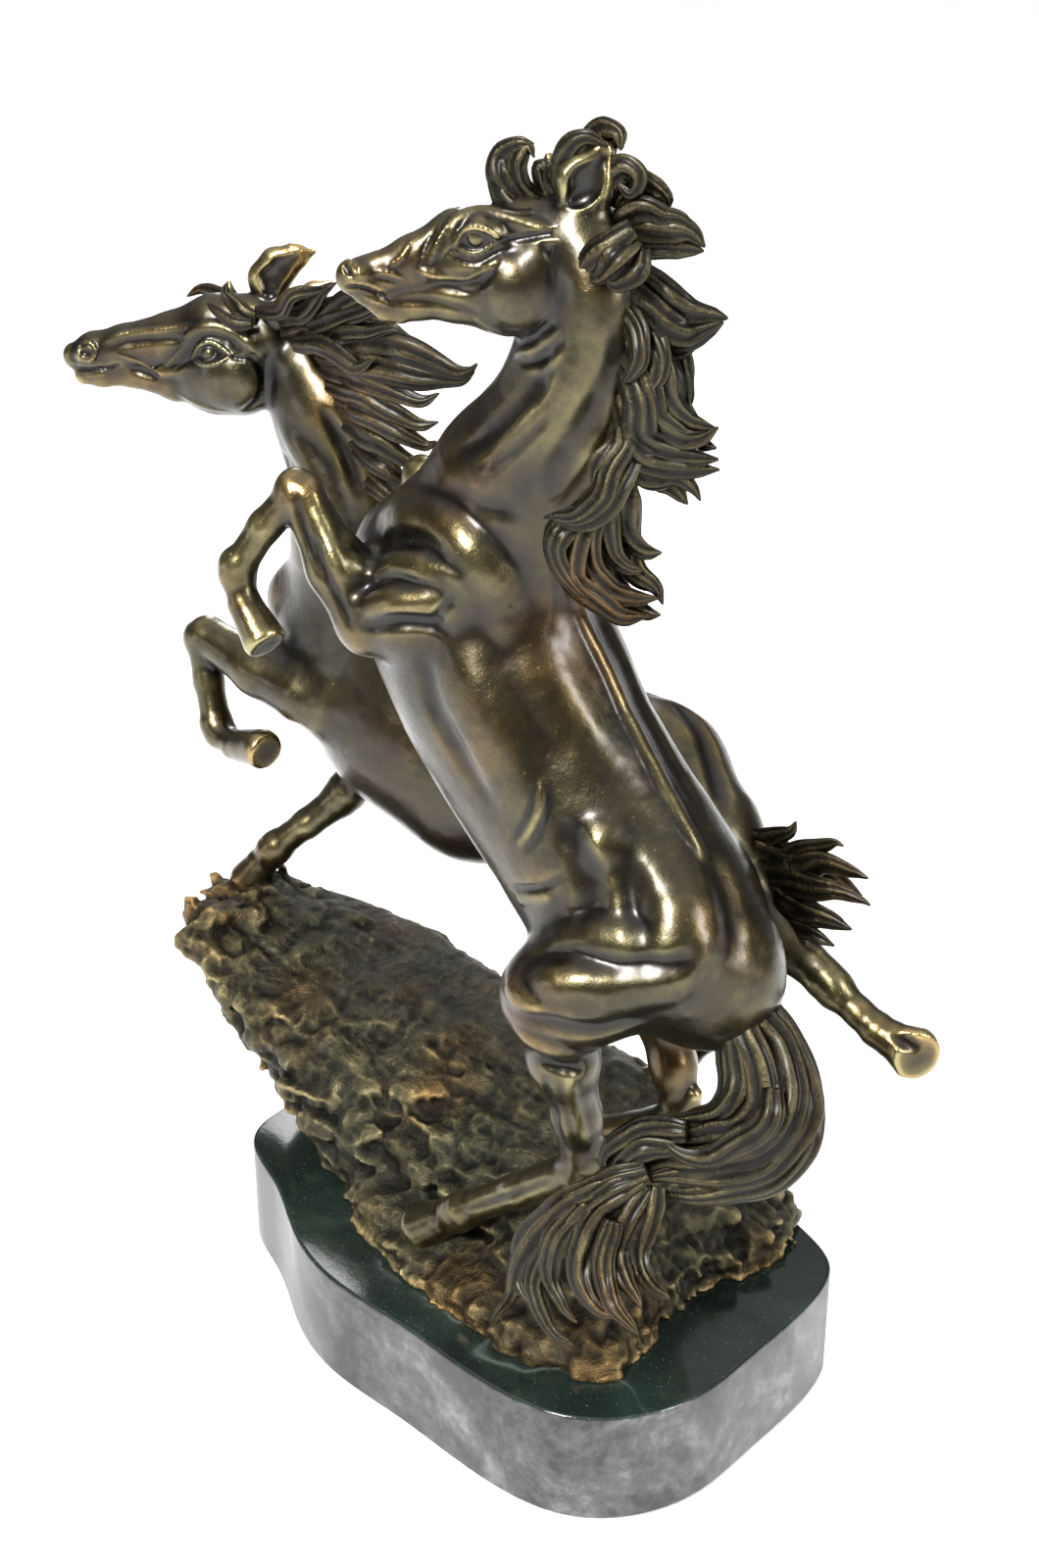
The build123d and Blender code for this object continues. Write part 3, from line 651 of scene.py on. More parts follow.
def bronze(name, stops, ka, kb, rough=(0.46, 0.30), metal=0.92, grain=0.10, pits=0.25, bias=0.0, coarse=0.0, coat=0.4):
    """Cast bronze with a rubbed patina and painted light: pale gold on the ridges as a
    painted highlight, dark brown in the hollows as patina and painted shade, cloudy in
    between, with the fine pits of a sand-textured skin."""
    m, nt, bs = nodes_of(name)
    co = coords(nt)
    cav, cavb = attr_node(nt, "cav"), attr_node(nt, "cavb")
    cloud = noise_node(nt, co, 34.0, 4.0, 0.6)
    mott = noise_node(nt, co, 160.0, 4.0, 0.65)
    spec = noise_node(nt, co, 700.0, 3.0, 0.7)
    # cav and cavb lighten the ridges (painted highlight) and darken the hollows (patina and painted shade) in the base
    # colour
    f = math_node(nt, "MULTIPLY", cav, ka)
    f = math_node(nt, "ADD", f, math_node(nt, "MULTIPLY", cavb, kb))
    f = math_node(nt, "ADD", f, math_node(nt, "MULTIPLY", math_node(nt, "SUBTRACT", cloud, 0.5), 0.55))
    f = math_node(nt, "ADD", f, math_node(nt, "MULTIPLY", math_node(nt, "SUBTRACT", mott, 0.5), 0.30))
    f = math_node(nt, "ADD", f, math_node(nt, "MULTIPLY", math_node(nt, "SUBTRACT", spec, 0.5), 0.16))
    f = math_node(nt, "ADD", f, 0.5 + bias, clamp=True)
    col = ramp_node(nt, f, stops)
    warm = noise_node(nt, co, 21.0, 2.0, 0.5)
    hue = ramp_node(nt, warm, [(0.36, (0.90, 0.97, 1.0)), (0.50, (1.0, 1.0, 0.96)), (0.66, (1.28, 0.94, 0.66))])
    col = mix_node(nt, 1.0, col, hue, "MULTIPLY")
    nt.links.new(col, bs.inputs["Base Color"])
    bs.inputs["Metallic"].default_value = metal
    bs.inputs["Coat Weight"].default_value = coat
    bs.inputs["Coat Roughness"].default_value = 0.24
    r = math_node(nt, "MULTIPLY", f, rough[1] - rough[0])
    r = math_node(nt, "ADD", r, rough[0])
    r = math_node(nt, "ADD", r, math_node(nt, "MULTIPLY", math_node(nt, "SUBTRACT", mott, 0.5), 0.16))
    nt.links.new(r, bs.inputs["Roughness"])
    pit = noise_node(nt, co, 1300.0, 2.0, 0.6)
    pit2 = noise_node(nt, co, 420.0, 3.0, 0.6)
    h = math_node(nt, "ADD", math_node(nt, "MULTIPLY", pit, 0.5), math_node(nt, "MULTIPLY", pit2, 0.8))
    holes = ramp_node(nt, noise_node(nt, co, 520.0, 1.0, 0.5), [(0.24, (0, 0, 0)), (0.30, (1, 1, 1))])
    nb = bump_node(nt, h, grain, 0.0012)
    nb = bump_node(nt, holes, pits, 0.0004, nb)
    if coarse:
        nb = bump_node(nt, noise_node(nt, co, 110.0, 6.0, 0.7, 0.6), coarse, 0.004, nb)
    nt.links.new(nb, bs.inputs["Normal"])
    return m


# low stops: hollows, patina and painted shade; high stops: ridges, painted highlight
BODY = bronze("bronze_body", [(0.0, (0.0028, 0.0020, 0.0018)), (0.28, (0.0080, 0.0058, 0.0029)), (0.50, (0.0240, 0.0184, 0.0066)),
                              (0.74, (0.072, 0.057, 0.021)), (1.0, (0.21, 0.172, 0.076))], 1.10, 0.50, rough=(0.42, 0.26), metal=0.94, grain=0.16, bias=-0.09, coat=0.42)
HAIR = bronze("bronze_hair", [(0.0, (0.0022, 0.0018, 0.0015)), (0.30, (0.0072, 0.0058, 0.0036)), (0.52, (0.026, 0.0205, 0.0100)),
                              (0.78, (0.086, 0.068, 0.032)), (1.0, (0.23, 0.185, 0.092))], 1.45, 0.2, rough=(0.48, 0.30), grain=0.26, bias=-0.11, coarse=0.45, coat=0.15)
ROCKM = bronze("bronze_rock", [(0.0, (0.0026, 0.0025, 0.0020)), (0.30, (0.0092, 0.0084, 0.0056)), (0.52, (0.0240, 0.0212, 0.0125)),
                               (0.78, (0.066, 0.055, 0.028)), (1.0, (0.185, 0.148, 0.074))], 0.85, 0.40, rough=(0.60, 0.38),
               metal=0.85, grain=0.4, pits=0.3, coarse=0.6, coat=0.0)


def marble(name):
    m, nt, bs = nodes_of(name)
    co = coords(nt)
    geo = nt.nodes.new("ShaderNodeNewGeometry")
    sep = nt.nodes.new("ShaderNodeSeparateXYZ")
    nt.links.new(geo.outputs["Normal"], sep.inputs[0])
    up = ramp_node(nt, sep.outputs["Z"], [(0.35, (0, 0, 0)), (0.75, (1, 1, 1))])
    n1 = noise_node(nt, co, 30.0, 6.0, 0.62, 0.8)
    n2 = noise_node(nt, co, 220.0, 4.0, 0.7)
    n3 = noise_node(nt, co, 900.0, 2.0, 0.6)
    top = ramp_node(nt, n1, [(0.30, (0.0035, 0.0050, 0.0045)), (0.55, (0.0070, 0.0120, 0.0098)), (0.75, (0.013, 0.021, 0.017))])
    speck = ramp_node(nt, n3, [(0.66, (0, 0, 0)), (0.74, (0.05, 0.065, 0.055))])
    top = mix_node(nt, 1.0, top, speck, "ADD")
    # a few hair-thin pale veins
    nv = noise_node(nt, co, 5.0, 4.0, 0.5, 0.3)
    line = math_node(nt, "ABSOLUTE", math_node(nt, "SUBTRACT", nv, 0.52))
    vein = ramp_node(nt, line, [(0.0, (1, 1, 1)), (0.0022, (0.5, 0.5, 0.5)), (0.0045, (0, 0, 0))])
    gate = ramp_node(nt, noise_node(nt, co, 11.0, 2.0, 0.5), [(0.56, (0, 0, 0)), (0.66, (1, 1, 1))])
    top = mix_node(nt, math_node(nt, "MULTIPLY", math_node(nt, "MULTIPLY", vein, gate), 0.32), top, (0.20, 0.25, 0.22))
    # the sides' mottled grey is lighter than the dark top: a painted reflection of the pale floor and surroundings,
    # over the marble's own mottling
    g = math_node(nt, "ADD", math_node(nt, "MULTIPLY", n1, 0.75), math_node(nt, "MULTIPLY", n2, 0.35))
    side = ramp_node(nt, g, [(0.38, (0.005, 0.005, 0.006)), (0.50, (0.017, 0.017, 0.018)), (0.62, (0.052, 0.052, 0.054)), (0.80, (0.16, 0.16, 0.163))])
    col = mix_node(nt, up, side, top)
    nt.links.new(col, bs.inputs["Base Color"])
    rr = math_node(nt, "ADD", math_node(nt, "MULTIPLY", up, -0.24), 0.34)
    rr = math_node(nt, "ADD", rr, math_node(nt, "MULTIPLY", math_node(nt, "SUBTRACT", n2, 0.5), 0.08))
    nt.links.new(rr, bs.inputs["Roughness"])
    bs.inputs["Specular IOR Level"].default_value = 0.30
    nb = bump_node(nt, n2, 0.05, 0.0006)
    nt.links.new(nb, bs.inputs["Normal"])
    return m


def steel(name):
    m, nt, bs = nodes_of(name)
    co = coords(nt)
    n1 = noise_node(nt, co, 240.0, 4.0, 0.6)
    n2 = noise_node(nt, co, 1500.0, 2.0, 0.6)
    col = ramp_node(nt, n1, [(0.3, (0.30, 0.29, 0.27)), (0.6, (0.52, 0.51, 0.49)), (0.8, (0.64, 0.63, 0.60))])
    nt.links.new(col, bs.inputs["Base Color"])
    bs.inputs["Metallic"].default_value = 1.0
    nt.links.new(math_node(nt, "ADD", math_node(nt, "MULTIPLY", n1, 0.25), 0.22), bs.inputs["Roughness"])
    nt.links.new(bump_node(nt, n2, 0.12, 0.0004), bs.inputs["Normal"])
    return m


def felt_mat(name):
    m, nt, bs = nodes_of(name)
    co = coords(nt)
    n1 = noise_node(nt, co, 900.0, 5.0, 0.75, 0.4)
    n2 = noise_node(nt, co, 60.0, 3.0, 0.6)
    col = ramp_node(nt, math_node(nt, "ADD", math_node(nt, "MULTIPLY", n1, 0.7), math_node(nt, "MULTIPLY", n2, 0.3)),
                    [(0.3, (0.012, 0.030, 0.018)), (0.6, (0.030, 0.070, 0.042)), (0.8, (0.060, 0.115, 0.075))])
    nt.links.new(col, bs.inputs["Base Color"])
    bs.inputs["Roughness"].default_value = 0.95
    bs.inputs["Sheen Weight"].default_value = 0.5
    nt.links.new(bump_node(nt, n1, 0.5, 0.0008), bs.inputs["Normal"])
    return m


MARBLE, STEEL, FELT = marble("marble"), steel("steel"), felt_mat("felt")


# ----------------------------------------------------------------- shape tables
FRONT = [
    ("torso", 1, [[[78,-15,170],[57,-15,182],26,34,12,[[0,-15,0],[0,1,0],1.16]],[[57,-15,182],[37,-15,202],34,33.5,12,[[0,-15,0],[0,1,0],1.16]],[[37,-15,202],[17.4,-15,223],33.5,34,12,[[0,-15,0],[0,1,0],1.16]],[[17.4,-15,223],[1.7,-15,245],34,36,12,[[0,-15,0],[0,1,0],1.16]],[[1.7,-15,245],[-12,-16,266],36,34.5,12,[[0,-15,0],[0,1,0],1.16]],[[-12,-16,266],[-36,-18,277],30,18,14,[[0,-15,0],[0,1,0],1.16]]]),
    ("neck", 14, [[[-16,-16.5,262],[-2,-17,288],31,30,10,[[0,-18.5,0],[0,1,0],1.42]],[[-2,-17,288],[8,-18,306.7],30,26.5,10,[[0,-18.5,0],[0,1,0],1.42]],[[8,-18,306.7],[25,-19,332],26.5,20.5,10,[[0,-18.5,0],[0,1,0],1.42]],[[25,-19,332],[31.6,-20,354],20.5,17,10,[[0,-18.5,0],[0,1,0],1.42]],[[31.6,-20,354],[33.2,-21,371],17,15.5,10,[[0,-18.5,0],[0,1,0],1.42]],[[33.2,-21,371],[31,-22,384],15.5,12.5,10,[[0,-18.5,0],[0,1,0],1.42]]]),
    ("head", 4, [[[30.7,-21.2,385.2],[20.9,-29.4,382.9],10.6,11.0,2.5,[[31,-21,384],[0.639,-0.769,0.0],1.42]],[[20.9,-29.4,382.9],[7.0,-40.9,381.1],11.0,10.0,2.5,[[31,-21,384],[0.639,-0.769,0.0],1.42]],[[7.0,-40.9,381.1],[-2.7,-49.0,376.6],10.0,7.4,2.0,[[31,-21,384],[0.639,-0.769,0.0],1.42]],[[-2.7,-49.0,376.6],[-11.0,-55.9,372.9],7.4,5.9,2.0,[[31,-21,384],[0.639,-0.769,0.0],1.42]],[[-11.0,-55.9,372.9],[-15.9,-60.0,372.6],5.9,5.1,2.0,[[31,-21,384],[0.639,-0.769,0.0],1.42]],[[19.5,-30.5,370.4],[16.0,-33.5,369.9],13.6,13.0,4,[[31,-21,384],[0.639,-0.769,0.0],1.42]],[[22.6,-33.9,370.6],[24.1,-32.7,371.4],12.0,11.8,1.6,[[31,-21,384],[0.639,-0.769,0.0],1.42]],[[16.8,-26.8,368.7],[18.3,-25.6,369.5],12.0,11.8,1.6,[[31,-21,384],[0.639,-0.769,0.0],1.42]],[[15.2,-34.2,368.3],[6.5,-41.4,367.5],11.2,7.4,3,[[31,-21,384],[0.639,-0.769,0.0],1.42]],[[6.5,-41.4,367.5],[-2.9,-49.1,365.6],7.4,4.6,3,[[31,-21,384],[0.639,-0.769,0.0],1.42]],[[-2.9,-49.1,365.6],[-9.5,-54.7,364.6],4.6,3.6,3,[[31,-21,384],[0.639,-0.769,0.0],1.42]],[[-11.5,-56.4,367.0],[-13.8,-58.2,367.8],4.0,3.0,2.0,[[31,-21,384],[0.639,-0.769,0.0],1.42]],[[-8.9,-54.2,362.9],[-6.4,-52.1,362.4],2.6,2.8,2.0,[[31,-21,384],[0.639,-0.769,0.0],1.42]],[[14.6,-41.9,385.8],[16.3,-40.3,385.2],4.6,4.4,3.0],[[7.3,-33.4,383.7],[9.3,-32.0,383.2],4.6,4.4,3.0],[[17.8,-40.1,378.1],[2.7,-49.9,374.5],2.8,1.4,2.5],[[9.7,-30.5,375.6],[-2.9,-43.7,372.8],2.8,1.4,2.5],[[-12.3,-60.4,373.7],[-14.3,-62.1,373.7],2.5,2.0,1.8],[[-15.9,-56.6,372.6],[-18.0,-58.2,372.6],2.5,2.0,1.8],[[27.2,-28.7,381.7],[30.0,-25.8,384.2],7.5,7.0,4.0],[[33.3,-25.0,390.2],[36.6,-24.8,398.8],5.4,7.9,2.5,[[36.6,-24.8,398.8],[0.639,-0.769,0.0],1.7]],[[36.6,-24.8,398.8],[40.1,-22.2,406.7],7.9,3.0,2.5,[[36.6,-24.8,398.8],[0.639,-0.769,0.0],1.7]],[[35.1,-27.3,391.3],[39.3,-28.2,399.5],2.7,4.582,-1.8,[[36.6,-24.8,398.8],[0.639,-0.769,0.0],1.7]],[[39.3,-28.2,399.5],[41.5,-24.0,405.5],4.582,1.0499999999999998,-1.8,[[36.6,-24.8,398.8],[0.639,-0.769,0.0],1.7]],[[22.7,-18.8,391.6],[21.0,-18.9,397.9],4.0,4.2,2.5],[[21.0,-18.9,397.9],[19.9,-19.8,403.1],4.2,1.2,2.5]]),
    ("left_foreleg", 7, [[[2,-33,286],[-16,-40,270],15,12.5,8],[[-16,-40,270],[-28,-45.5,264.5],12.5,9.3,8],[[-28,-46,265],[-38,-48,281],9.4,9.2,4],[[-38,-48,281],[-49,-50,300],9.2,6.8,4],[[-49.5,-50,301.5],[-51.8,-50.7,303],6.9,6.4,2],[[-51,-50.5,302],[-60.5,-56,291],5.9,4.9,2.5],[[-60.5,-56,291],[-67,-60.3,279.5],4.9,5.1,2.5],[[-68.3,-61,278],[-68.3,-61.3,275.5],5.9,5.6,2],[[-68,-61.3,275],[-65.3,-62,267.5],5.1,4.7,2],[[-64.6,-62,266],[-57.4,-62,257],5.3,6.8,1.5]], [[[-55.3,-62.3,255.1],[0.752,-0.1,-0.652],11.5]]),
    ("right_foreleg", 7, [[[-8,-4,280],[-24,6,268],15,12,8],[[-24,6,268],[-38,12,263],12,8.8,8],[[-38,13,263],[-49,15,276],8.2,7.2,4],[[-49,15,276],[-59.5,16,289],7.2,5.8,4],[[-60,16,290],[-61.5,16,290.5],6.6,6.2,2],[[-61.5,15.8,289],[-67,15,280],5.6,4.9,2.5],[[-67,15,280],[-71,14.2,270],4.9,5.1,2.5],[[-71.8,14,267.5],[-71.6,13.8,265.5],5.8,5.5,2],[[-71.4,13.5,265],[-69.5,13,257],5.1,4.7,2],[[-69,12.6,255.5],[-62,12,247],5.3,6.8,1.5]], [[[-59.9,12.3,245.1],[0.752,0.1,-0.652],11.5]]),
    ("left_hind_leg", 9, [[[74,-28,180],[53,-43,167],20,17,10],[[53,-43,167],[44.4,-47,163],17,15.2,10],[[44.4,-47.5,162],[48.7,-46,141],13.5,10.3,5],[[48.7,-46,141],[50.2,-41,118],10.3,7.2,5],[[50.2,-41,118],[50.2,-38.5,101],7.2,6.3,5],[[50,-38,100],[49.6,-38,96],6.7,6.9,2],[[52.5,-37.8,101],[56.5,-37.5,107.5],5.2,3.0,2],[[55.5,-38.5,107],[54,-42,126],2.4,2.6,3],[[47.5,-38.4,94.5],[28,-42,80.3],6.8,5.7,2.5],[[28,-42,80.3],[8,-45,65.6],5.7,5.9,2.5],[[6.6,-45.2,64.4],[4.8,-45.4,62.8],6.9,6.7,2],[[4,-45.5,62],[-1.5,-46,57.6],6.0,5.8,2],[[-2.4,-46,57.0],[-9.5,-47,51.2],6.7,8.9,1.2]], [[[-10.4,-47.0,47.6],[-0.25,0.0,-0.968],11.5]]),
    ("right_hind_leg", 9, [[[66,4,176],[48,7,160],18,15,10],[[48,7,160],[39,7,151],15,13.5,10],[[39,7,151],[46,8,134],13,9.6,5],[[46,8,134],[53,7,114],9.6,7,5],[[53,7,114],[57,6,99],7,6.3,5],[[57,6,99],[56,6,95.5],6.6,6.7,2],[[59,6,101],[62,6,107],5,3,2],[[54,5.6,94],[40,4,85.5],6.4,5.4,2.5],[[40,4,85.5],[27,2.2,79.2],5.4,5.6,2.5],[[25.5,2,78.6],[24,1.8,77.6],6.5,6.3,2],[[23,1.6,77],[19,1,74.5],5.6,5.4,2],[[18,1,74],[10,-0.3,69.8],6.2,8.4,1.2]], [[[9.3,-0.3,66.3],[-0.2,0.0,-0.98],11.5]]),
]
REAR = [
    ("torso", 1, [[[16,46,193],[1,46,188],25,29,12,[[0,44,0],[0,1,0],1.14]],[[1,46,188],[-28,46,176],29,29,12,[[0,44,0],[0,1,0],1.14]],[[-28,46,176],[-63,43,174],29,31,12,[[0,44,0],[0,1,0],1.14]],[[-63,43,174],[-90,40,188],31,33,12,[[0,44,0],[0,1,0],1.14]],[[-90,40,188],[-106,38,203],33,31,12,[[0,44,0],[0,1,0],1.14]],[[-104,37,204],[-136.9,35.0,223.7],26,15,12,[[0,44,0],[0,1,0],1.14]],[[-100,38,190],[-128.6,34.0,192.1],24,12,12,[[0,44,0],[0,1,0],1.14]]]),
    ("neck", 14, [[[-99,38,206],[-104,37,226],29,30,10,[[0,32,0],[0,1,0],1.45]],[[-104,37,226],[-108.7,34,249.7],30,25.5,10,[[0,32,0],[0,1,0],1.45]],[[-108.7,34,249.7],[-111.6,31,278.4],25.5,20,10,[[0,32,0],[0,1,0],1.45]],[[-111.6,31,278.4],[-119.4,28,298.5],20,17,10,[[0,32,0],[0,1,0],1.45]],[[-119.4,28,298.5],[-128,26,313],17,13.5,10,[[0,32,0],[0,1,0],1.45]]]),
    ("head", 4, [[[-139.8,20.3,326.0],[-152.4,13.7,324.3],12.0,12.2,2.5,[[-130,25.5,318],[0.465,-0.885,0.0],1.42]],[[-152.4,13.7,324.3],[-166.4,6.4,320.2],12.2,9.8,2.5,[[-130,25.5,318],[0.465,-0.885,0.0],1.42]],[[-166.4,6.4,320.2],[-181.9,-1.8,316.9],9.8,7.9,2.0,[[-130,25.5,318],[0.465,-0.885,0.0],1.42]],[[-181.9,-1.8,316.9],[-192.6,-7.4,314.6],7.9,6.9,2.0,[[-130,25.5,318],[0.465,-0.885,0.0],1.42]],[[-192.6,-7.4,314.6],[-198.9,-10.7,312.9],6.9,4.9,2.0,[[-130,25.5,318],[0.465,-0.885,0.0],1.42]],[[-145.9,17.1,310.0],[-153.2,13.3,309.3],15.0,14.6,4,[[-130,25.5,318],[0.465,-0.885,0.0],1.42]],[[-143.9,13.0,310.8],[-146.4,11.7,310.7],12.4,12.2,2.2,[[-130,25.5,318],[0.465,-0.885,0.0],1.42]],[[-151.1,19.6,308.4],[-153.6,18.3,308.2],12.4,12.2,2.2,[[-130,25.5,318],[0.465,-0.885,0.0],1.42]],[[-155.5,12.1,308.4],[-166.7,6.2,306.1],12.6,7.2,2.5,[[-130,25.5,318],[0.465,-0.885,0.0],1.42]],[[-166.7,6.2,306.1],[-181.0,-1.3,307.6],7.2,4.6,2.5,[[-130,25.5,318],[0.465,-0.885,0.0],1.42]],[[-181.0,-1.3,307.6],[-191.0,-6.6,306.7],4.6,4.1,2.5,[[-130,25.5,318],[0.465,-0.885,0.0],1.42]],[[-191.0,-6.6,306.7],[-196.9,-9.6,306.0],4.1,3.3,2.5,[[-130,25.5,318],[0.465,-0.885,0.0],1.42]],[[-149.8,8.8,320.5],[-147.2,10.4,320.7],4.6,4.4,3.0],[[-158.6,16.8,317.7],[-155.6,18.1,317.9],4.6,4.4,3.0],[[-151.1,7.0,312.6],[-167.4,0.4,309.8],2.6,1.4,2.5],[[-161.5,16.4,309.1],[-175.2,7.2,307.3],2.6,1.4,2.5],[[-191.6,-10.5,315.0],[-194.0,-12.0,314.5],3.2,2.6,1.8],[[-197.0,-6.1,313.3],[-199.8,-7.3,312.8],3.2,2.6,1.8],[[-137.4,17.7,321.5],[-133.7,20.2,323.3],8.0,7.0,4.0],[[-134.4,22.0,333.2],[-135.4,22.7,342.2],4.8,7.0,1.6,[[-135.4,22.7,342.2],[0.465,-0.885,0.0],1.9]],[[-135.4,22.7,342.2],[-132.1,24.4,347.0],7.0,6.6,1.6,[[-135.4,22.7,342.2],[0.465,-0.885,0.0],1.9]],[[-132.1,24.4,347.0],[-126.8,27.2,350.5],6.6,4.4,1.6,[[-135.4,22.7,342.2],[0.465,-0.885,0.0],1.9]],[[-126.8,27.2,350.5],[-121.0,30.3,352.4],4.4,0.9,1.6,[[-135.4,22.7,342.2],[0.465,-0.885,0.0],1.9]],[[-132.4,20.4,339.0],[-131.9,20.2,343.7],2.6,4.4,-0.9,[[-135.4,22.7,342.2],[0.465,-0.885,0.0],1.9]],[[-131.9,20.2,343.7],[-128.5,22.2,347.8],4.4,3.8,-0.9,[[-135.4,22.7,342.2],[0.465,-0.885,0.0],1.9]],[[-128.5,22.2,347.8],[-124.4,25.3,351.1],3.8,1.8,-0.9,[[-135.4,22.7,342.2],[0.465,-0.885,0.0],1.9]],[[-129.6,19.0,331.1],[-121.2,21.1,336.2],4.4,5.6,1.6,[[-121.2,21.1,336.2],[0.465,-0.885,0.0],1.9]],[[-121.2,21.1,336.2],[-114.2,23.6,341.0],5.6,3.6,1.6,[[-121.2,21.1,336.2],[0.465,-0.885,0.0],1.9]],[[-114.2,23.6,341.0],[-109.2,25.7,344.6],3.6,0.8,1.6,[[-121.2,21.1,336.2],[0.465,-0.885,0.0],1.9]],[[-124.5,17.8,333.0],[-117.7,19.1,337.4],2.0,3.4,-0.9,[[-121.2,21.1,336.2],[0.465,-0.885,0.0],1.9]],[[-117.7,19.1,337.4],[-111.8,22.2,341.6],3.4,1.7,-0.9,[[-121.2,21.1,336.2],[0.465,-0.885,0.0],1.9]],[[-148.9,20.1,330.1],[-151.3,20.0,334.5],3.6,2.4,1.5],[[-151.3,20.0,334.5],[-152.4,20.5,339.3],2.4,0.8,1.5]]),
    ("left_foreleg", 7, [[[-90,30,194],[-108,18,197],16,12,8],[[-108,18,197],[-118,14.2,199],12,10.2,8],[[-118,14,199],[-138.5,12,203],11.6,9.6,4],[[-138.5,12,203],[-163,10,210.5],9.6,7.2,4],[[-164,10,210.6],[-166.2,9.6,209.5],7.2,6.8,2],[[-165.6,9.6,208],[-162,8,194],6.3,5.4,2.5],[[-162,8,194],[-157,5.4,180.5],5.4,5.6,2.5],[[-156,5,178.3],[-154,4.6,176.6],6.4,6.1,2],[[-153.5,4.4,176],[-144.5,2.6,174.8],5.6,5.2,2],[[-143,2.4,174.9],[-127,0,179],5.8,7.3,1.5]], [[[-124.0,-0.5,178.5],[0.977,-0.151,-0.151],11.5]]),
    ("right_foreleg", 7, [[[-92,47,186],[-104,45,174],15,11.5,8],[[-104,45,174],[-114,42,162.5],11.5,8.6,8],[[-114,42.3,162.5],[-119.6,36,152],9.4,7.6,4],[[-120.3,35,150.5],[-121.5,34,148.8],7.7,7.3,2],[[-122.5,33,147.5],[-131.5,25,138],6.6,5.6,2.5],[[-131.5,25,138],[-140,19.8,129.5],5.6,5.7,2.5],[[-142,18.6,127.2],[-143,18,126],6.8,6.5,2],[[-143.5,17.8,125.3],[-147.3,16,120],5.8,5.5,2],[[-148,15.6,119],[-152.2,13.6,112],6.2,7.9,1.5]], [[[-152.9,13.6,108.7],[-0.2,0.0,-0.98],11.5]]),
    ("left_hind_leg", 9, [[[20,41,193],[42,37,184],21,16,10],[[42,37,184],[60,34,172.5],16,12,10],[[58,34,174],[78,30.5,160],12.5,8.4,5],[[78,30.5,160],[92,29.3,153],8.4,6.2,5],[[95,29,151.5],[98,29,150],6.4,6.2,2],[[97,29,153],[91,29.5,158.5],4.6,3.0,2],[[99,29,149.3],[108,29,144.5],5.6,4.7,2.5],[[108,29,144.5],[113,29,141.8],4.7,4.9,2.5],[[114.5,29,141.2],[115.7,29.1,140.6],5.8,5.6,2],[[116.5,29.2,140.4],[120,29.5,139.4],5.0,5.0,2],[[120.5,29.6,139.2],[126.5,30.3,137.4],6.2,8.6,1.5]], [[[129.4,28.2,137.8],[0.805,-0.584,0.101],11.5]]),
    ("right_hind_leg", 9, [[[12,54,184],[6,58,168],18,15,10],[[6,58,168],[4,60,153],15,12.5,10],[[4,60,152],[15,59,134],12,8.8,5],[[15,59,134],[27,57,114],8.8,6.4,5],[[27,57,114],[33.6,56,100],6.4,6,5],[[34,56,98.5],[33.3,55.7,95.5],6.4,6.3,2],[[37,56.2,101],[41,56.5,107],4.8,2.9,2],[[32.3,55.2,94],[27,53,85],5.4,4.5,2.5],[[27,53,85],[22.5,50.4,79.5],4.5,4.7,2.5],[[21.8,50,78.6],[20.8,49.5,77.6],5.5,5.3,2],[[20,49.2,77],[17.5,48,74.5],4.7,4.6,2],[[17,47.8,74],[13,46,70],5.2,7.0,1.5]], [[[12.3,45.7,67.2],[-0.251,-0.1,-0.963],11.5]]),
]

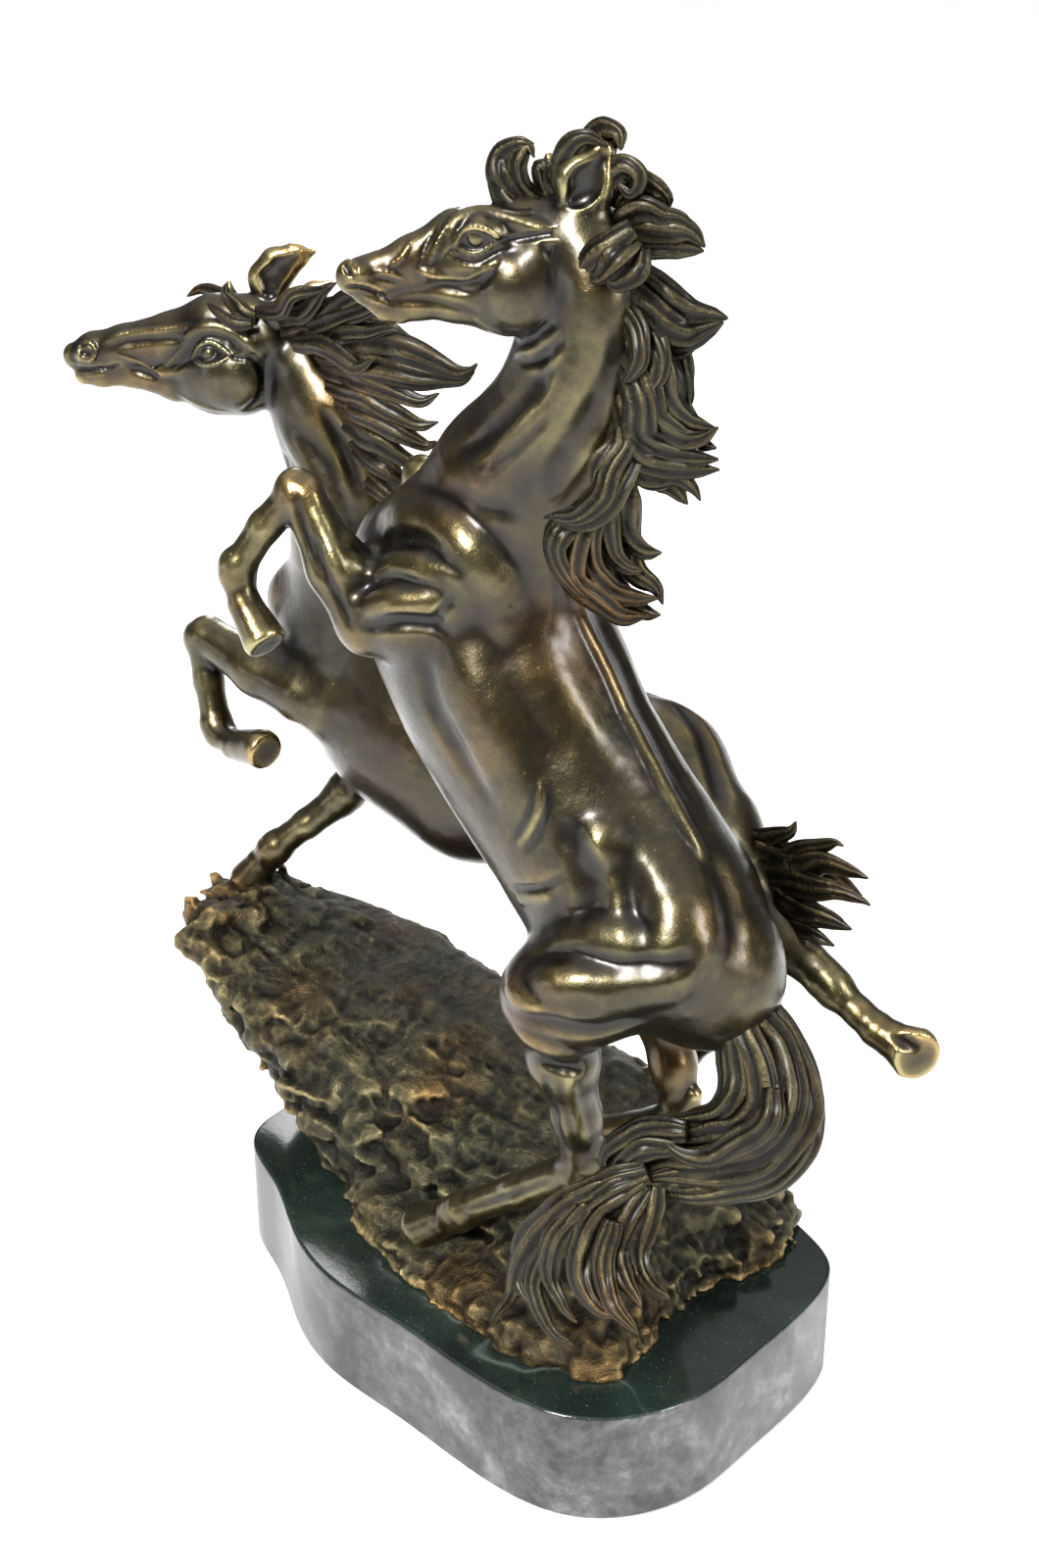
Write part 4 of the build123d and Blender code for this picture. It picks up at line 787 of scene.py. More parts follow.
MANE_A = [
    ([[31.3,-22.0,391.1],[29.2,-25.0,398.3],[32.4,-27.0,406.5],[38.1,-26.0,410.6],[42.3,-23.0,408.2]], 4.6, 0.7),
    ([[33.7,-20.0,394.3],[32.2,-20.0,404.3],[36.0,-20.0,410.8],[43.2,-20.0,411.4],[45.3,-21.0,407.8]], 5.0, 0.7),
    ([[34.7,-17.0,396.5],[33.6,-15.0,406.4],[35.4,-14.0,410.3],[40.7,-14.0,407.0]], 4.6, 0.7),
    ([[38.5,-21.0,389.3],[38.4,-21.0,397.5],[44.0,-20.0,403.0],[49.8,-19.0,400.9],[48.4,-20.0,396.4],[44.9,-21.0,398.7]], 3.6, 0.7),
    ([[40.5,-18.0,392.2],[43.8,-16.0,397.4],[48.8,-14.0,397.7],[54.0,-13.0,394.3],[54.7,-13.0,391.5]], 4.4, 0.6),
    ([[43.7,-20.0,388.9],[51.0,-19.0,392.2],[56.0,-17.0,390.7],[60.0,-15.0,390.9],[63.8,-14.0,389.4]], 4.2, 0.55),
    ([[42.4,-19.0,386.0],[50.4,-18.0,387.6],[58.7,-16.0,386.8],[63.6,-14.0,386.6],[66.7,-12.0,384.1]], 5.2, 0.5),
    ([[43.0,-18.0,382.1],[50.7,-16.0,382.7],[59.0,-14.0,382.4],[66.5,-12.0,381.8]], 4.6, 0.5),
    ([[53.9,-27.0,389.3],[48.8,-30.0,385.1],[43.9,-32.0,381.2],[41.3,-32.0,376.2],[44.6,-31.0,373.4]], 4.0, 0.6),
    ([[53.4,-25.0,385.7],[51.5,-30.0,381.9],[48.2,-32.0,376.6],[44.1,-33.0,375.4]], 4.4, 0.6),
    ([[55.0,-24.0,383.2],[56.5,-28.0,378.9],[52.4,-31.0,374.9],[49.2,-32.0,376.0]], 3.8, 0.6),
    ([[41.3,-20.0,379.0],[49.9,-19.0,374.0],[58.4,-17.0,370.1],[65.4,-14.0,366.1],[73.6,-11.0,364.9]], 5.6, 0.5),
    ([[43.9,-22.0,376.3],[51.7,-22.0,368.7],[58.2,-20.0,363.4],[64.5,-16.0,360.5],[70.6,-13.0,362.7],[73.9,-11.0,364.7]], 5.8, 0.5),
    ([[42.0,-18.0,371.4],[49.4,-17.0,363.0],[57.4,-15.0,357.1],[62.5,-13.0,357.0],[65.5,-12.0,360.4]], 5.0, 0.5),
    ([[45.0,-22.0,369.8],[54.1,-25.0,362.4],[58.1,-27.0,355.4],[56.4,-29.0,350.3],[53.5,-29.0,347.9]], 4.2, 0.55),
    ([[44.9,-20.0,369.5],[56.5,-22.0,359.6],[60.2,-24.0,351.2],[57.6,-26.0,345.8],[55.4,-26.0,342.2]], 4.6, 0.55),
    ([[43.9,-15.0,364.5],[52.6,-13.0,357.4],[58.7,-12.0,352.7],[62.2,-12.0,345.1],[63.1,-12.0,339.8]], 5.0, 0.5),
    ([[50.9,-22.0,360.1],[60.0,-22.0,353.5],[62.1,-20.0,344.0],[66.1,-16.0,337.1],[73.1,-11.0,335.3]], 5.0, 0.5),
    ([[48.4,-23.0,358.5],[57.7,-25.0,349.7],[58.9,-23.0,338.7],[63.7,-18.0,333.0],[69.4,-14.0,332.8],[73.4,-11.0,335.1]], 5.4, 0.5),
    ([[46.8,-22.0,354.1],[56.0,-26.0,345.6],[57.2,-25.0,334.7],[62.0,-20.0,328.4],[68.4,-15.0,326.2],[73.8,-11.0,326.3]], 5.6, 0.5),
    ([[44.7,-20.0,349.3],[51.3,-24.0,338.9],[55.0,-25.0,330.2],[60.2,-21.0,324.7],[66.9,-15.0,323.2],[73.6,-11.0,323.5]], 5.2, 0.5),
    ([[48.9,-16.0,357.3],[58.7,-14.0,347.7],[61.3,-13.0,338.3],[66.8,-12.0,330.8],[72.7,-11.0,330.3]], 5.2, 0.5),
    ([[44.1,-20.0,343.7],[48.0,-22.0,331.0],[53.9,-20.0,321.8],[61.4,-15.0,320.4],[65.7,-13.0,317.4],[68.2,-12.0,313.7]], 5.2, 0.5),
    ([[44.0,-14.0,332.7],[49.4,-14.0,322.4],[58.3,-12.0,317.4],[63.5,-11.0,311.7]], 5.0, 0.55),
    ([[49.9,-22.0,336.9],[53.8,-27.0,330.4],[51.9,-31.0,324.0],[50.0,-34.0,316.5],[44.1,-36.0,311.3],[33.1,-37.0,307.6]], 4.6, 0.55),
    ([[51.9,-21.0,332.9],[53.8,-25.0,325.8],[52.9,-29.0,319.6],[49.6,-32.0,312.6],[42.6,-34.0,308.2],[34.4,-36.0,306.5]], 4.4, 0.55),
    ([[48.7,-24.0,335.7],[51.3,-29.0,330.4],[49.0,-33.0,325.3],[48.3,-35.0,320.1]], 3.6, 0.6),
    ([[46.5,-17.0,322.6],[45.5,-18.0,311.2],[46.3,-16.0,300.7],[50.2,-14.0,296.0],[55.3,-12.0,296.0]], 5.0, 0.5),
    ([[44.6,-19.0,319.8],[43.0,-22.0,307.3],[43.9,-21.0,297.1],[48.0,-17.0,291.0],[51.4,-14.0,289.8]], 5.2, 0.5),
    ([[44.8,-20.0,317.3],[40.5,-25.0,306.1],[40.0,-25.0,294.3],[43.4,-20.0,284.3],[48.9,-15.0,281.1],[55.1,-12.0,281.7]], 5.4, 0.5),
    ([[42.8,-21.0,314.2],[37.2,-28.0,303.3],[36.7,-28.0,291.5],[39.4,-23.0,281.2],[44.9,-17.0,275.9],[52.5,-12.0,276.3]], 5.4, 0.5),
    ([[40.2,-22.0,311.1],[34.0,-31.0,301.9],[34.1,-31.0,293.2],[37.5,-28.0,285.7],[39.5,-25.0,281.8]], 4.2, 0.5),
    ([[45.2,-15.0,314.7],[44.1,-13.0,300.9],[47.2,-12.0,289.5],[52.9,-11.0,285.1],[54.8,-11.0,279.6]], 5.0, 0.55),
    ([[41.9,-15.0,306.8],[38.0,-14.0,291.0],[41.0,-12.0,280.6],[48.5,-11.0,276.9],[54.5,-11.0,277.1]], 5.4, 0.55),
]
FORE_A = [
    ([[22.3,-29.0,390.3],[16.2,-32.0,393.9],[12.6,-33.0,400.1],[13.5,-32.0,406.0],[18.8,-31.0,408.9],[23.1,-30.0,408.4]], 3.8, 0.6),
    ([[23.2,-28.0,391.1],[19.5,-31.0,396.7],[18.2,-31.0,403.0],[20.7,-30.0,407.5],[23.1,-30.0,404.6]], 3.4, 0.6),
    ([[20.5,-33.0,389.9],[15.2,-34.0,392.8],[12.8,-34.0,397.7],[13.8,-34.0,402.2]], 3.4, 0.6),
    ([[25.0,-26.0,392.8],[23.2,-28.0,399.3],[23.8,-28.0,402.4],[26.5,-28.0,400.9]], 3.2, 0.6),
    ([[28.5,-24.0,394.2],[26.4,-27.0,400.0],[29.1,-27.0,403.6]], 3.4, 0.6),
    ([[25.8,-32.0,389.8],[23.0,-36.0,389.6],[18.5,-38.0,389.8],[15.3,-40.0,388.2]], 2.6, 0.6),
]
MANE_B = [
    ([[-124.2,16.0,332.1],[-109.4,13.0,337.0],[-99.1,12.0,344.4],[-93.2,13.0,348.8]], 3.6, 0.55),
    ([[-130.7,12.0,334.1],[-116.8,9.0,336.6],[-108.5,8.0,343.7],[-98.6,8.0,346.4],[-92.4,9.0,348.3]], 3.0, 0.5),
    ([[-124.1,18.0,328.4],[-103.7,14.0,335.4],[-90.0,14.0,343.7],[-78.9,16.0,346.5],[-74.2,18.0,349.9]], 4.6, 0.5),
    ([[-119.6,18.0,325.8],[-98.3,13.0,334.7],[-81.8,12.0,341.1],[-70.7,14.0,344.8],[-68.4,15.0,340.3]], 4.8, 0.5),
    ([[-116.1,19.0,323.8],[-94.0,13.0,332.1],[-79.9,12.0,335.1],[-69.2,13.0,337.4],[-65.9,14.0,335.5]], 4.6, 0.5),
    ([[-114.4,22.0,325.8],[-93.9,15.0,328.6],[-75.4,14.0,330.9],[-60.3,16.0,329.7],[-49.8,19.0,325.8],[-44.1,20.0,326.5],[-40.0,20.0,329.3]], 5.6, 0.5),
    ([[-112.3,22.0,321.2],[-88.8,14.0,323.7],[-71.4,14.0,323.3],[-59.4,17.0,321.4],[-48.2,20.0,322.7],[-41.7,21.0,326.7]], 5.4, 0.5),
    ([[-110.3,22.0,316.5],[-86.8,14.0,318.5],[-71.6,14.0,316.8],[-61.6,16.0,314.2],[-55.7,18.0,317.4]], 4.8, 0.5),
    ([[-108.2,22.0,311.8],[-85.7,14.0,313.2],[-72.7,14.0,310.2],[-64.0,17.0,306.5],[-56.9,20.0,307.8]], 5.0, 0.5),
    ([[-108.2,24.0,306.4],[-85.1,15.0,307.2],[-73.1,16.0,302.5],[-64.7,20.0,298.2],[-59.6,22.0,300.3]], 5.0, 0.5),
    ([[-104.8,24.0,300.2],[-83.8,17.0,298.7],[-73.5,19.0,293.5],[-65.5,23.0,289.7]], 5.0, 0.5),
    ([[-103.8,26.0,293.1],[-83.8,19.0,289.9],[-75.7,23.0,283.0],[-70.6,27.0,278.7]], 5.0, 0.5),
    ([[-102.9,28.0,284.2],[-85.7,23.0,278.4],[-80.6,27.0,271.5]], 5.0, 0.5),
    ([[-113.6,12.0,326.1],[-94.8,9.0,327.9],[-83.1,9.0,324.3],[-74.3,9.0,327.9]], 3.6, 0.5),
    ([[-125.2,26.0,326.8],[-112.6,30.0,332.9],[-97.5,33.0,331.3],[-81.8,35.0,328.4]], 5.2, 0.5),
    ([[-122.8,30.0,314.6],[-109.9,36.0,317.2],[-93.8,38.0,312.7],[-79.6,38.0,311.6]], 5.4, 0.5),
    ([[-118.3,32.0,304.7],[-107.9,38.0,301.8],[-93.9,40.0,297.0]], 5.4, 0.5),
    ([[-116.2,34.0,290.9],[-106.7,41.0,285.8],[-94.0,42.0,279.2]], 5.4, 0.5),
]
FORE_B = [
    ([[-132.9,14.0,331.1],[-138.8,12.0,333.0],[-144.5,12.0,338.1],[-143.2,12.0,342.6]], 3.2, 0.55),
    ([[-130.7,10.0,330.5],[-136.1,7.0,330.3],[-143.4,6.0,333.3],[-149.1,7.0,335.0]], 2.6, 0.5),
    ([[-140.4,18.0,331.0],[-155.7,19.0,333.7],[-165.4,19.0,335.4],[-171.0,18.0,332.8]], 3.6, 0.5),
]
TAIL_A = [
    ([[88.7,-15.0,169.4],[101.2,-17.0,158.1],[112.0,-21.0,149.0],[116.6,-27.0,138.5],[110.8,-33.0,128.8],[98.0,-37.0,121.1],[84.8,-41.0,116.3],[75.8,-46.0,109.6],[68.1,-52.0,101.5]], 6.6, 0.6),
    ([[90.2,-13.0,168.4],[103.5,-13.0,157.1],[115.1,-17.0,146.5],[119.7,-24.0,134.8],[115.3,-31.0,123.4],[103.6,-37.0,117.2],[89.3,-42.0,113.5],[80.2,-47.0,110.0]], 6.4, 0.6),
    ([[91.2,-10.0,165.3],[104.0,-9.0,151.9],[113.7,-12.0,140.0],[118.9,-20.0,128.9],[115.7,-28.0,117.8],[104.9,-36.0,111.9],[92.4,-41.0,107.9],[82.2,-46.0,104.6]], 6.6, 0.65),
    ([[89.8,-18.0,167.1],[100.5,-22.0,156.7],[107.9,-26.0,146.3],[108.3,-31.0,137.0],[99.8,-35.0,129.2],[87.8,-38.0,124.9],[77.2,-41.0,125.4]], 5.6, 0.55),
    ([[88.8,-20.0,164.9],[97.0,-24.0,154.6],[102.3,-28.0,145.1],[99.9,-32.0,136.7],[91.6,-35.0,129.9],[82.3,-38.0,126.7],[74.6,-40.0,125.2]], 4.6, 0.55),
    ([[87.3,-19.0,160.4],[92.3,-22.0,150.1],[95.9,-25.0,140.9],[93.0,-29.0,133.7],[85.2,-32.0,128.4]], 3.6, 0.55),
    ([[113.2,-29.0,148.3],[115.9,-34.0,141.8],[110.4,-38.0,133.0],[102.4,-41.0,125.9],[93.2,-43.0,123.6],[84.8,-44.0,126.8]], 4.6, 0.55),
    ([[91.5,-41.0,129.8],[81.1,-44.0,128.0],[75.1,-48.0,122.9],[70.0,-51.0,116.9],[68.7,-53.0,110.2]], 4.6, 0.5),
    ([[89.6,-43.0,124.8],[79.9,-47.0,122.0],[73.8,-51.0,115.0],[71.7,-53.0,109.8]], 4.8, 0.5),
    ([[82.6,-48.0,115.6],[73.2,-55.0,110.5],[61.1,-61.0,99.6],[51.6,-65.0,86.4],[49.3,-68.0,72.8],[57.7,-71.0,65.6]], 5.2, 0.5),
    ([[81.6,-49.0,113.9],[73.0,-57.0,107.2],[63.8,-63.0,95.5],[61.1,-68.0,82.3],[68.9,-72.0,73.8],[77.4,-74.0,71.9]], 5.4, 0.5),
    ([[81.6,-49.0,112.1],[75.6,-57.0,104.1],[72.2,-63.0,94.0],[73.2,-68.0,84.6],[83.2,-72.0,79.2],[92.1,-73.0,79.6]], 5.4, 0.5),
    ([[82.8,-48.0,110.3],[80.8,-55.0,102.5],[81.2,-60.0,92.9],[87.0,-65.0,86.0],[96.6,-68.0,83.5]], 5.0, 0.5),
    ([[85.0,-47.0,110.7],[86.0,-52.0,101.4],[87.1,-57.0,92.2],[93.8,-61.0,87.0],[101.8,-63.0,86.7]], 4.6, 0.5),
    ([[78.3,-52.0,112.3],[68.1,-58.0,106.2],[57.7,-64.0,95.0],[51.3,-68.0,79.4],[47.0,-70.0,65.3],[38.8,-70.0,49.5]], 4.2, 0.5),
    ([[69.7,-60.0,103.8],[61.3,-66.0,88.7],[58.9,-71.0,75.6],[66.0,-74.0,66.1],[76.4,-75.0,63.8]], 4.2, 0.5),
    ([[79.1,-60.0,102.7],[80.2,-66.0,90.5],[87.9,-71.0,82.8],[98.7,-73.0,76.8]], 4.2, 0.5),
]
TAIL_B = [
    ([[35.7,42.0,192.7],[49.7,39.0,187.5],[63.1,36.0,188.2],[74.6,33.0,195.1],[77.9,33.0,200.9]], 4.6, 0.5),
    ([[39.8,42.0,188.6],[54.4,38.0,183.3],[70.1,34.0,186.4],[83.3,31.0,193.9],[93.5,30.0,198.9],[97.7,30.0,198.9]], 5.2, 0.5),
    ([[42.6,41.0,186.3],[59.0,37.0,181.6],[77.0,32.0,185.2],[91.1,29.0,192.4],[101.5,28.0,193.5],[107.1,28.0,192.6]], 5.6, 0.5),
    ([[45.3,40.0,183.9],[62.4,35.0,178.9],[80.4,30.0,180.9],[95.6,27.0,186.2],[106.2,27.0,185.3],[109.7,27.0,184.1]], 5.8, 0.5),
    ([[45.5,40.0,179.7],[63.3,34.0,174.3],[80.8,29.0,173.4],[94.2,27.0,175.4],[103.6,27.0,174.1]], 5.8, 0.5),
    ([[44.6,40.0,175.8],[61.7,34.0,168.4],[78.4,29.0,165.5],[90.5,27.0,167.1],[98.4,27.0,166.8]], 5.4, 0.5),
    ([[43.2,40.0,172.5],[57.5,35.0,163.0],[72.6,30.0,157.7],[83.9,28.0,157.3]], 5.2, 0.5),
    ([[46.5,44.0,182.8],[63.2,42.0,181.7],[79.4,40.0,182.5],[95.2,38.0,181.5],[101.2,37.0,180.5]], 5.6, 0.5),
    ([[46.1,45.0,176.9],[63.2,43.0,170.6],[79.7,41.0,168.1],[93.7,39.0,168.4]], 5.6, 0.5),
    ([[61.7,36.0,180.1],[74.7,33.0,182.7],[84.6,31.0,190.2],[92.0,30.0,195.0]], 3.6, 0.5),
]

ROCK = {
    41: [(-84, -22), (-60, -38), (-35, -54), (-8, -64), (25, -70), (55, -69), (77, -62), (84, -41),
         (76, -10), (86, 20), (79, 50), (50, 60), (5, 64), (-45, 62), (-82, 48), (-95, 12)],
    47: [(-90, -25), (-64, -38), (-36, -50), (-9, -57), (24, -63), (54, -64), (74, -57), (80, -40),
         (73, -10), (83, 20), (77, 48), (48, 59), (4, 64), (-46, 63), (-86, 50), (-101, 13)],
    54: [(-99, -27), (-70, -36), (-42, -38), (-14, -34), (18, -44), (48, -56), (68, -49), (74, -36),
         (68, -8), (78, 20), (73, 45), (46, 57), (2, 63), (-48, 62), (-92, 51), (-110, 15)],
    63: [(-110, -29), (-80, -36), (-50, -36), (-20, -28), (10, -32), (38, -44), (58, -40), (63, -28),
         (58, -5), (64, 20), (58, 41), (36, 53), (-5, 61), (-55, 61), (-102, 52), (-122, 16)],
    75: [(-118, -30), (-98, -34), (-70, -31), (-45, -22), (-17, -14), (8, -14), (30, -8), (40, 2),
         (43, 14), (44, 25), (38, 38), (15, 50), (-20, 57), (-65, 59), (-112, 53), (-132, 15)],
    88: [(-124, -28), (-110, -32), (-92, -26), (-75, -15), (-55, -2), (-36, 4), (-20, 9), (-15, 17),
         (-13, 25), (-14, 33), (-20, 41), (-34, 49), (-56, 54), (-86, 56), (-120, 51), (-142, 14)],
    98: [(-150, -24), (-140, -28), (-122, -22), (-106, -10), (-97, 0), (-90, 8), (-84, 14), (-81, 20),
         (-80, 26), (-81, 31), (-84, 36), (-90, 41), (-98, 45), (-110, 47), (-135, 43), (-162, 11)],
    106: [(-154, -20), (-147, -23), (-137, -17), (-130, -9), (-124, 0), (-119, 6), (-116, 11), (-114, 16),
          (-114, 21), (-116, 26), (-119, 29), (-124, 32), (-131, 34), (-138, 34), (-150, 30), (-165, 9)],
    112: [(-154, -16), (-148, -18), (-142, -14), (-138, -9), (-135, -3), (-133, 2), (-132, 6), (-131, 10),
          (-131, 14), (-133, 17), (-135, 20), (-139, 22), (-144, 24), (-149, 24), (-155, 20), (-161, 6)],
}

# (points, radius mm, height mm (+ ridge, - crease), blend). Two numbers are a place
# seen from the main viewpoint, three are a place in millimetres.
STROKES_A = [
    # shoulder and triceps folds
    ([(358, 536), (395, 524), (440, 528), (475, 548)], 6.5, 1.7, 5.0),
    ([(360, 560), (400, 552), (438, 560), (468, 580)], 2.6, -0.8, 3.5),
    ([(366, 580), (400, 574), (436, 582)], 5.0, 1.3, 4.0),
    ([(368, 600), (400, 594), (436, 600)], 2.2, -0.8, 3.0),
    ([(370, 620), (402, 612), (440, 616), (458, 626)], 4.5, 1.3, 3.0),
    ([(374, 640), (410, 634), (445, 638), (462, 650)], 2.2, -1.0, 2.5),
    ([(470, 552), (502, 580), (516, 620), (508, 655)], 6.0, 1.0, 5.0),
    ([(442, 636), (452, 622), (462, 610)], 1.6, -0.6, 1.6),
    ([(455, 500), (490, 508), (525, 525)], 2.6, -0.5, 4.0),
    # neck muscles
    ([(582, 240), (600, 290), (606, 335), (592, 378), (560, 425), (520, 468), (482, 502)], 8.0, 1.6, 6.0),
    ([(545, 350), (554, 376), (538, 405), (505, 440), (462, 468)], 2.6, -0.6, 4.5),
    ([(628, 340), (622, 380), (600, 425), (575, 470), (560, 505)], 3.0, -0.5, 5.0),
    ([(500, 480), (530, 455), (560, 425)], 1.4, -0.35, 2.0),
    ([(488, 470), (520, 440), (548, 410)], 1.2, 0.35, 2.0),
    ([(520, 353), (542, 347), (562, 330)], 1.1, -0.6, 1.0),
    ([(524, 361), (546, 356), (570, 338)], 1.2, 0.6, 1.0),
    ([(532, 372), (552, 366), (574, 348)], 1.0, -0.5, 1.0),
    ([(540, 380), (560, 374), (578, 358)], 1.2, 0.45, 1.2),
    # rib cage: one long swelling with ripples across it
    ([(462, 640), (476, 690), (498, 740), (522, 792), (534, 830)], 9.0, 1.5, 7.0),
    ([(430, 670), (440, 712), (462, 758), (492, 806)], 3.0, -0.5, 5.0),
    ([(530, 640), (556, 690), (586, 735), (612, 775)], 7.0, 0.5, 7.0),
    ([(352, 530), (362, 512), (378, 500), (398, 500)], 2.6, 0.7, 3.0),
    # back: a crisp edge along the spine
    ([(588, 600), (606, 655), (634, 716), (664, 775), (694, 832), (722, 880)], 1.8, 0.9, 2.2),
    ([(604, 590), (622, 650), (650, 710), (680, 768), (710, 822)], 3.2, -0.6, 5.0),
    # flank folds, close to the stifle
    ([(545, 800), (542, 822), (534, 842), (524, 856)], 1.1, -0.45, 1.4),
    ([(552, 800), (550, 824), (541, 846), (530, 862)], 1.5, 0.5, 1.4),
    ([(561, 804), (558, 830), (549, 852), (536, 870)], 1.1, -0.4, 1.4),
    ([(498, 896), (524, 906), (552, 906), (574, 894)], 1.3, -0.6, 1.6),
    ([(502, 908), (530, 918), (558, 916)], 1.8, 0.7, 1.8),
    # hip bone, croup and buttock: broad planes
    ([(596, 868), (612, 860), (628, 866)], 6.5, 1.6, 5.0),
    ([(580, 846), (598, 884), (602, 922), (588, 950)], 3.6, -0.8, 5.0),
    ([(642, 880), (654, 925), (660, 975)], 4.0, -0.9, 6.0),
    ([(668, 878), (694, 905), (704, 948), (700, 990)], 9.0, 1.5, 7.0),
    ([(724, 876), (742, 920), (750, 975)], 3.6, -0.45, 6.0),
    # thigh
    ([(536, 984), (580, 976), (630, 986), (680, 988), (706, 974)], 3.0, -1.2, 4.5),
    ([(530, 962), (572, 955), (620, 960), (660, 962)], 6.0, 1.3, 5.0),
    ([(545, 1006), (590, 1002), (640, 1008), (690, 1006)], 6.0, 1.3, 5.0),
    ([(518, 1000), (532, 1020), (556, 1032)], 3.4, 1.0, 3.0),
    ([(530, 1054), (558, 1068), (590, 1075)], 3.6, 1.5, 2.2),
    ([(526, 1070), (556, 1084), (588, 1091)], 1.6, -0.9, 2.0),
    ([(535, 1036), (570, 1046), (610, 1050), (650, 1040)], 2.4, -0.8, 3.5),
    # tendons of the near hind leg
    ([(556, 1100), (566, 1140), (580, 1175)], 1.4, -0.6, 1.8),
    ([(578, 1095), (588, 1135), (598, 1170)], 1.6, 0.6, 1.8),
    ([(560, 1205), (520, 1220), (480, 1232)], 1.2, -0.5, 1.4),
    # near foreleg
    ([(300, 500), (310, 540), (328, 590)], 1.4, -0.6, 1.8),
    ([(318, 498), (332, 540), (348, 585)], 2.2, 0.7, 2.2),
    ([(322, 550), (340, 600), (358, 640)], 1.4, -0.6, 1.8),
]
STROKES_HA = [
    # eye: socket, ball, lids, brow
    ([(478, 247), (490, 244), (500, 246)], 4.2, -1.0, 2.0),
    ([(485, 244)], 3.0, 1.7, 0.4),
    ([(464, 250), (471, 237), (484, 231), (498, 235), (510, 244)], 0.95, 1.15, 0.3),
    ([(468, 252), (478, 258), (491, 257), (506, 247)], 0.7, 0.75, 0.35),
    ([(458, 240), (466, 224), (484, 214), (506, 216), (530, 226), (560, 234)], 1.9, 0.9, 1.5),
    ([(462, 260), (478, 268), (496, 265), (512, 254)], 0.8, -0.35, 0.9),
    ([(508, 247), (532, 243), (556, 239), (576, 236)], 0.9, -0.55, 1.0),
    ([(464, 251), (458, 257), (453, 264)], 0.6, -0.4, 0.5),
    # facial crest and veins
    ([(506, 268), (480, 284), (455, 283), (428, 276)], 1.2, 0.75, 0.9),
    ([(500, 278), (480, 293), (452, 292)], 1.4, -0.4, 1.6),
    ([(458, 226), (447, 246), (438, 268)], 0.7, 0.45, 0.6),
    ([(445, 232), (434, 250), (426, 272)], 0.6, -0.3, 0.8),
    ([(420, 246), (410, 262), (396, 272)], 0.7, 0.35, 0.7),
    ([(384, 277), (398, 279), (412, 285)], 0.7, 0.45, 0.5),
    ([(382, 283), (396, 286), (408, 291)], 0.6, -0.35, 0.5),
    ([(474, 292), (484, 292)], 1.6, 0.5, 0.8),
    # mouth, nostril, chin
    ([(352, 293), (362, 293), (374, 295), (386, 300), (398, 307)], 0.6, -0.8, 0.35),
    ([(354, 288), (366, 288), (380, 291), (394, 298)], 0.9, 0.35, 0.6),
    ([(368, 302), (384, 308), (398, 313)], 0.9, 0.35, 0.6),
    ([(351, 272), (354, 277), (359, 281)], 1.15, -1.1, 0.4),
    ([(352, 266), (359, 267), (366, 273), (367, 281)], 0.7, 0.35, 0.5),
    ([(404, 308), (430, 307), (462, 312), (488, 322)], 1.2, -0.35, 1.6),
    # jowl
    ([(556, 252), (572, 270), (579, 295), (572, 322), (556, 340)], 1.8, -1.2, 1.6),
    ([(482, 322), (505, 338), (532, 346)], 1.0, 0.3, 1.0),
]
STROKES_B = [
    ([(290, 440), (318, 480), (338, 530), (340, 580)], 5.0, 1.3, 4.0),
    ([(275, 432), (292, 470), (306, 515)], 2.0, -1.0, 3.0),
    ([(330, 420), (352, 460), (366, 500)], 2.0, -1.0, 3.0),
    ([(640, 690), (690, 720), (725, 770), (738, 820)], 2.4, -1.1, 4.0),
    ([(918, 1060), (932, 1066)], 3.2, -1.3, 0.9),
]
STROKES_HB = [
    ([(206, 362), (216, 360), (226, 361)], 4.2, -0.9, 2.0),
    ([(213, 360)], 3.0, 1.5, 0.4),
    ([(196, 365), (203, 353), (215, 349), (229, 357), (236, 364)], 0.95, 1.05, 0.3),
    ([(199, 368), (210, 373), (224, 370), (233, 364)], 0.7, 0.7, 0.35),
    ([(186, 352), (198, 338), (218, 333), (238, 340), (256, 352)], 1.9, 0.8, 1.6),
    ([(234, 364), (248, 366), (262, 362)], 0.8, -0.45, 0.9),
    ([(195, 366), (186, 372), (178, 379)], 0.6, -0.35, 0.6),
    # nose ridge, crest, veins
    ([(106, 349), (128, 340), (158, 337), (194, 332)], 1.3, 0.55, 1.0),
    ([(110, 356), (134, 349), (165, 346), (190, 347)], 1.2, -0.4, 1.6),
    ([(120, 362), (140, 368), (158, 378), (170, 372), (188, 354)], 0.9, 0.55, 0.7),
    ([(126, 371), (146, 380), (164, 386)], 1.2, -0.35, 1.4),
    # nostril, mouth, chin
    ([(86, 360), (88, 360)], 2.1, -1.5, 0.4),
    ([(79, 358), (82, 351), (89, 349), (96, 353), (98, 361), (92, 368), (84, 368), (79, 363)], 0.8, 0.55, 0.4),
    ([(66, 374), (80, 377), (95, 377), (112, 375), (122, 372)], 0.7, -1.0, 0.35),
    ([(70, 370), (88, 372), (106, 371)], 0.9, 0.3, 0.6),
    ([(76, 382), (90, 384), (104, 382)], 0.9, 0.3, 0.6),
    # jowl
    ([(254, 362), (270, 380), (268, 402), (250, 418)], 1.8, -1.0, 1.6),
    ([(180, 402), (205, 414), (232, 420)], 1.0, 0.3, 1.0),
]
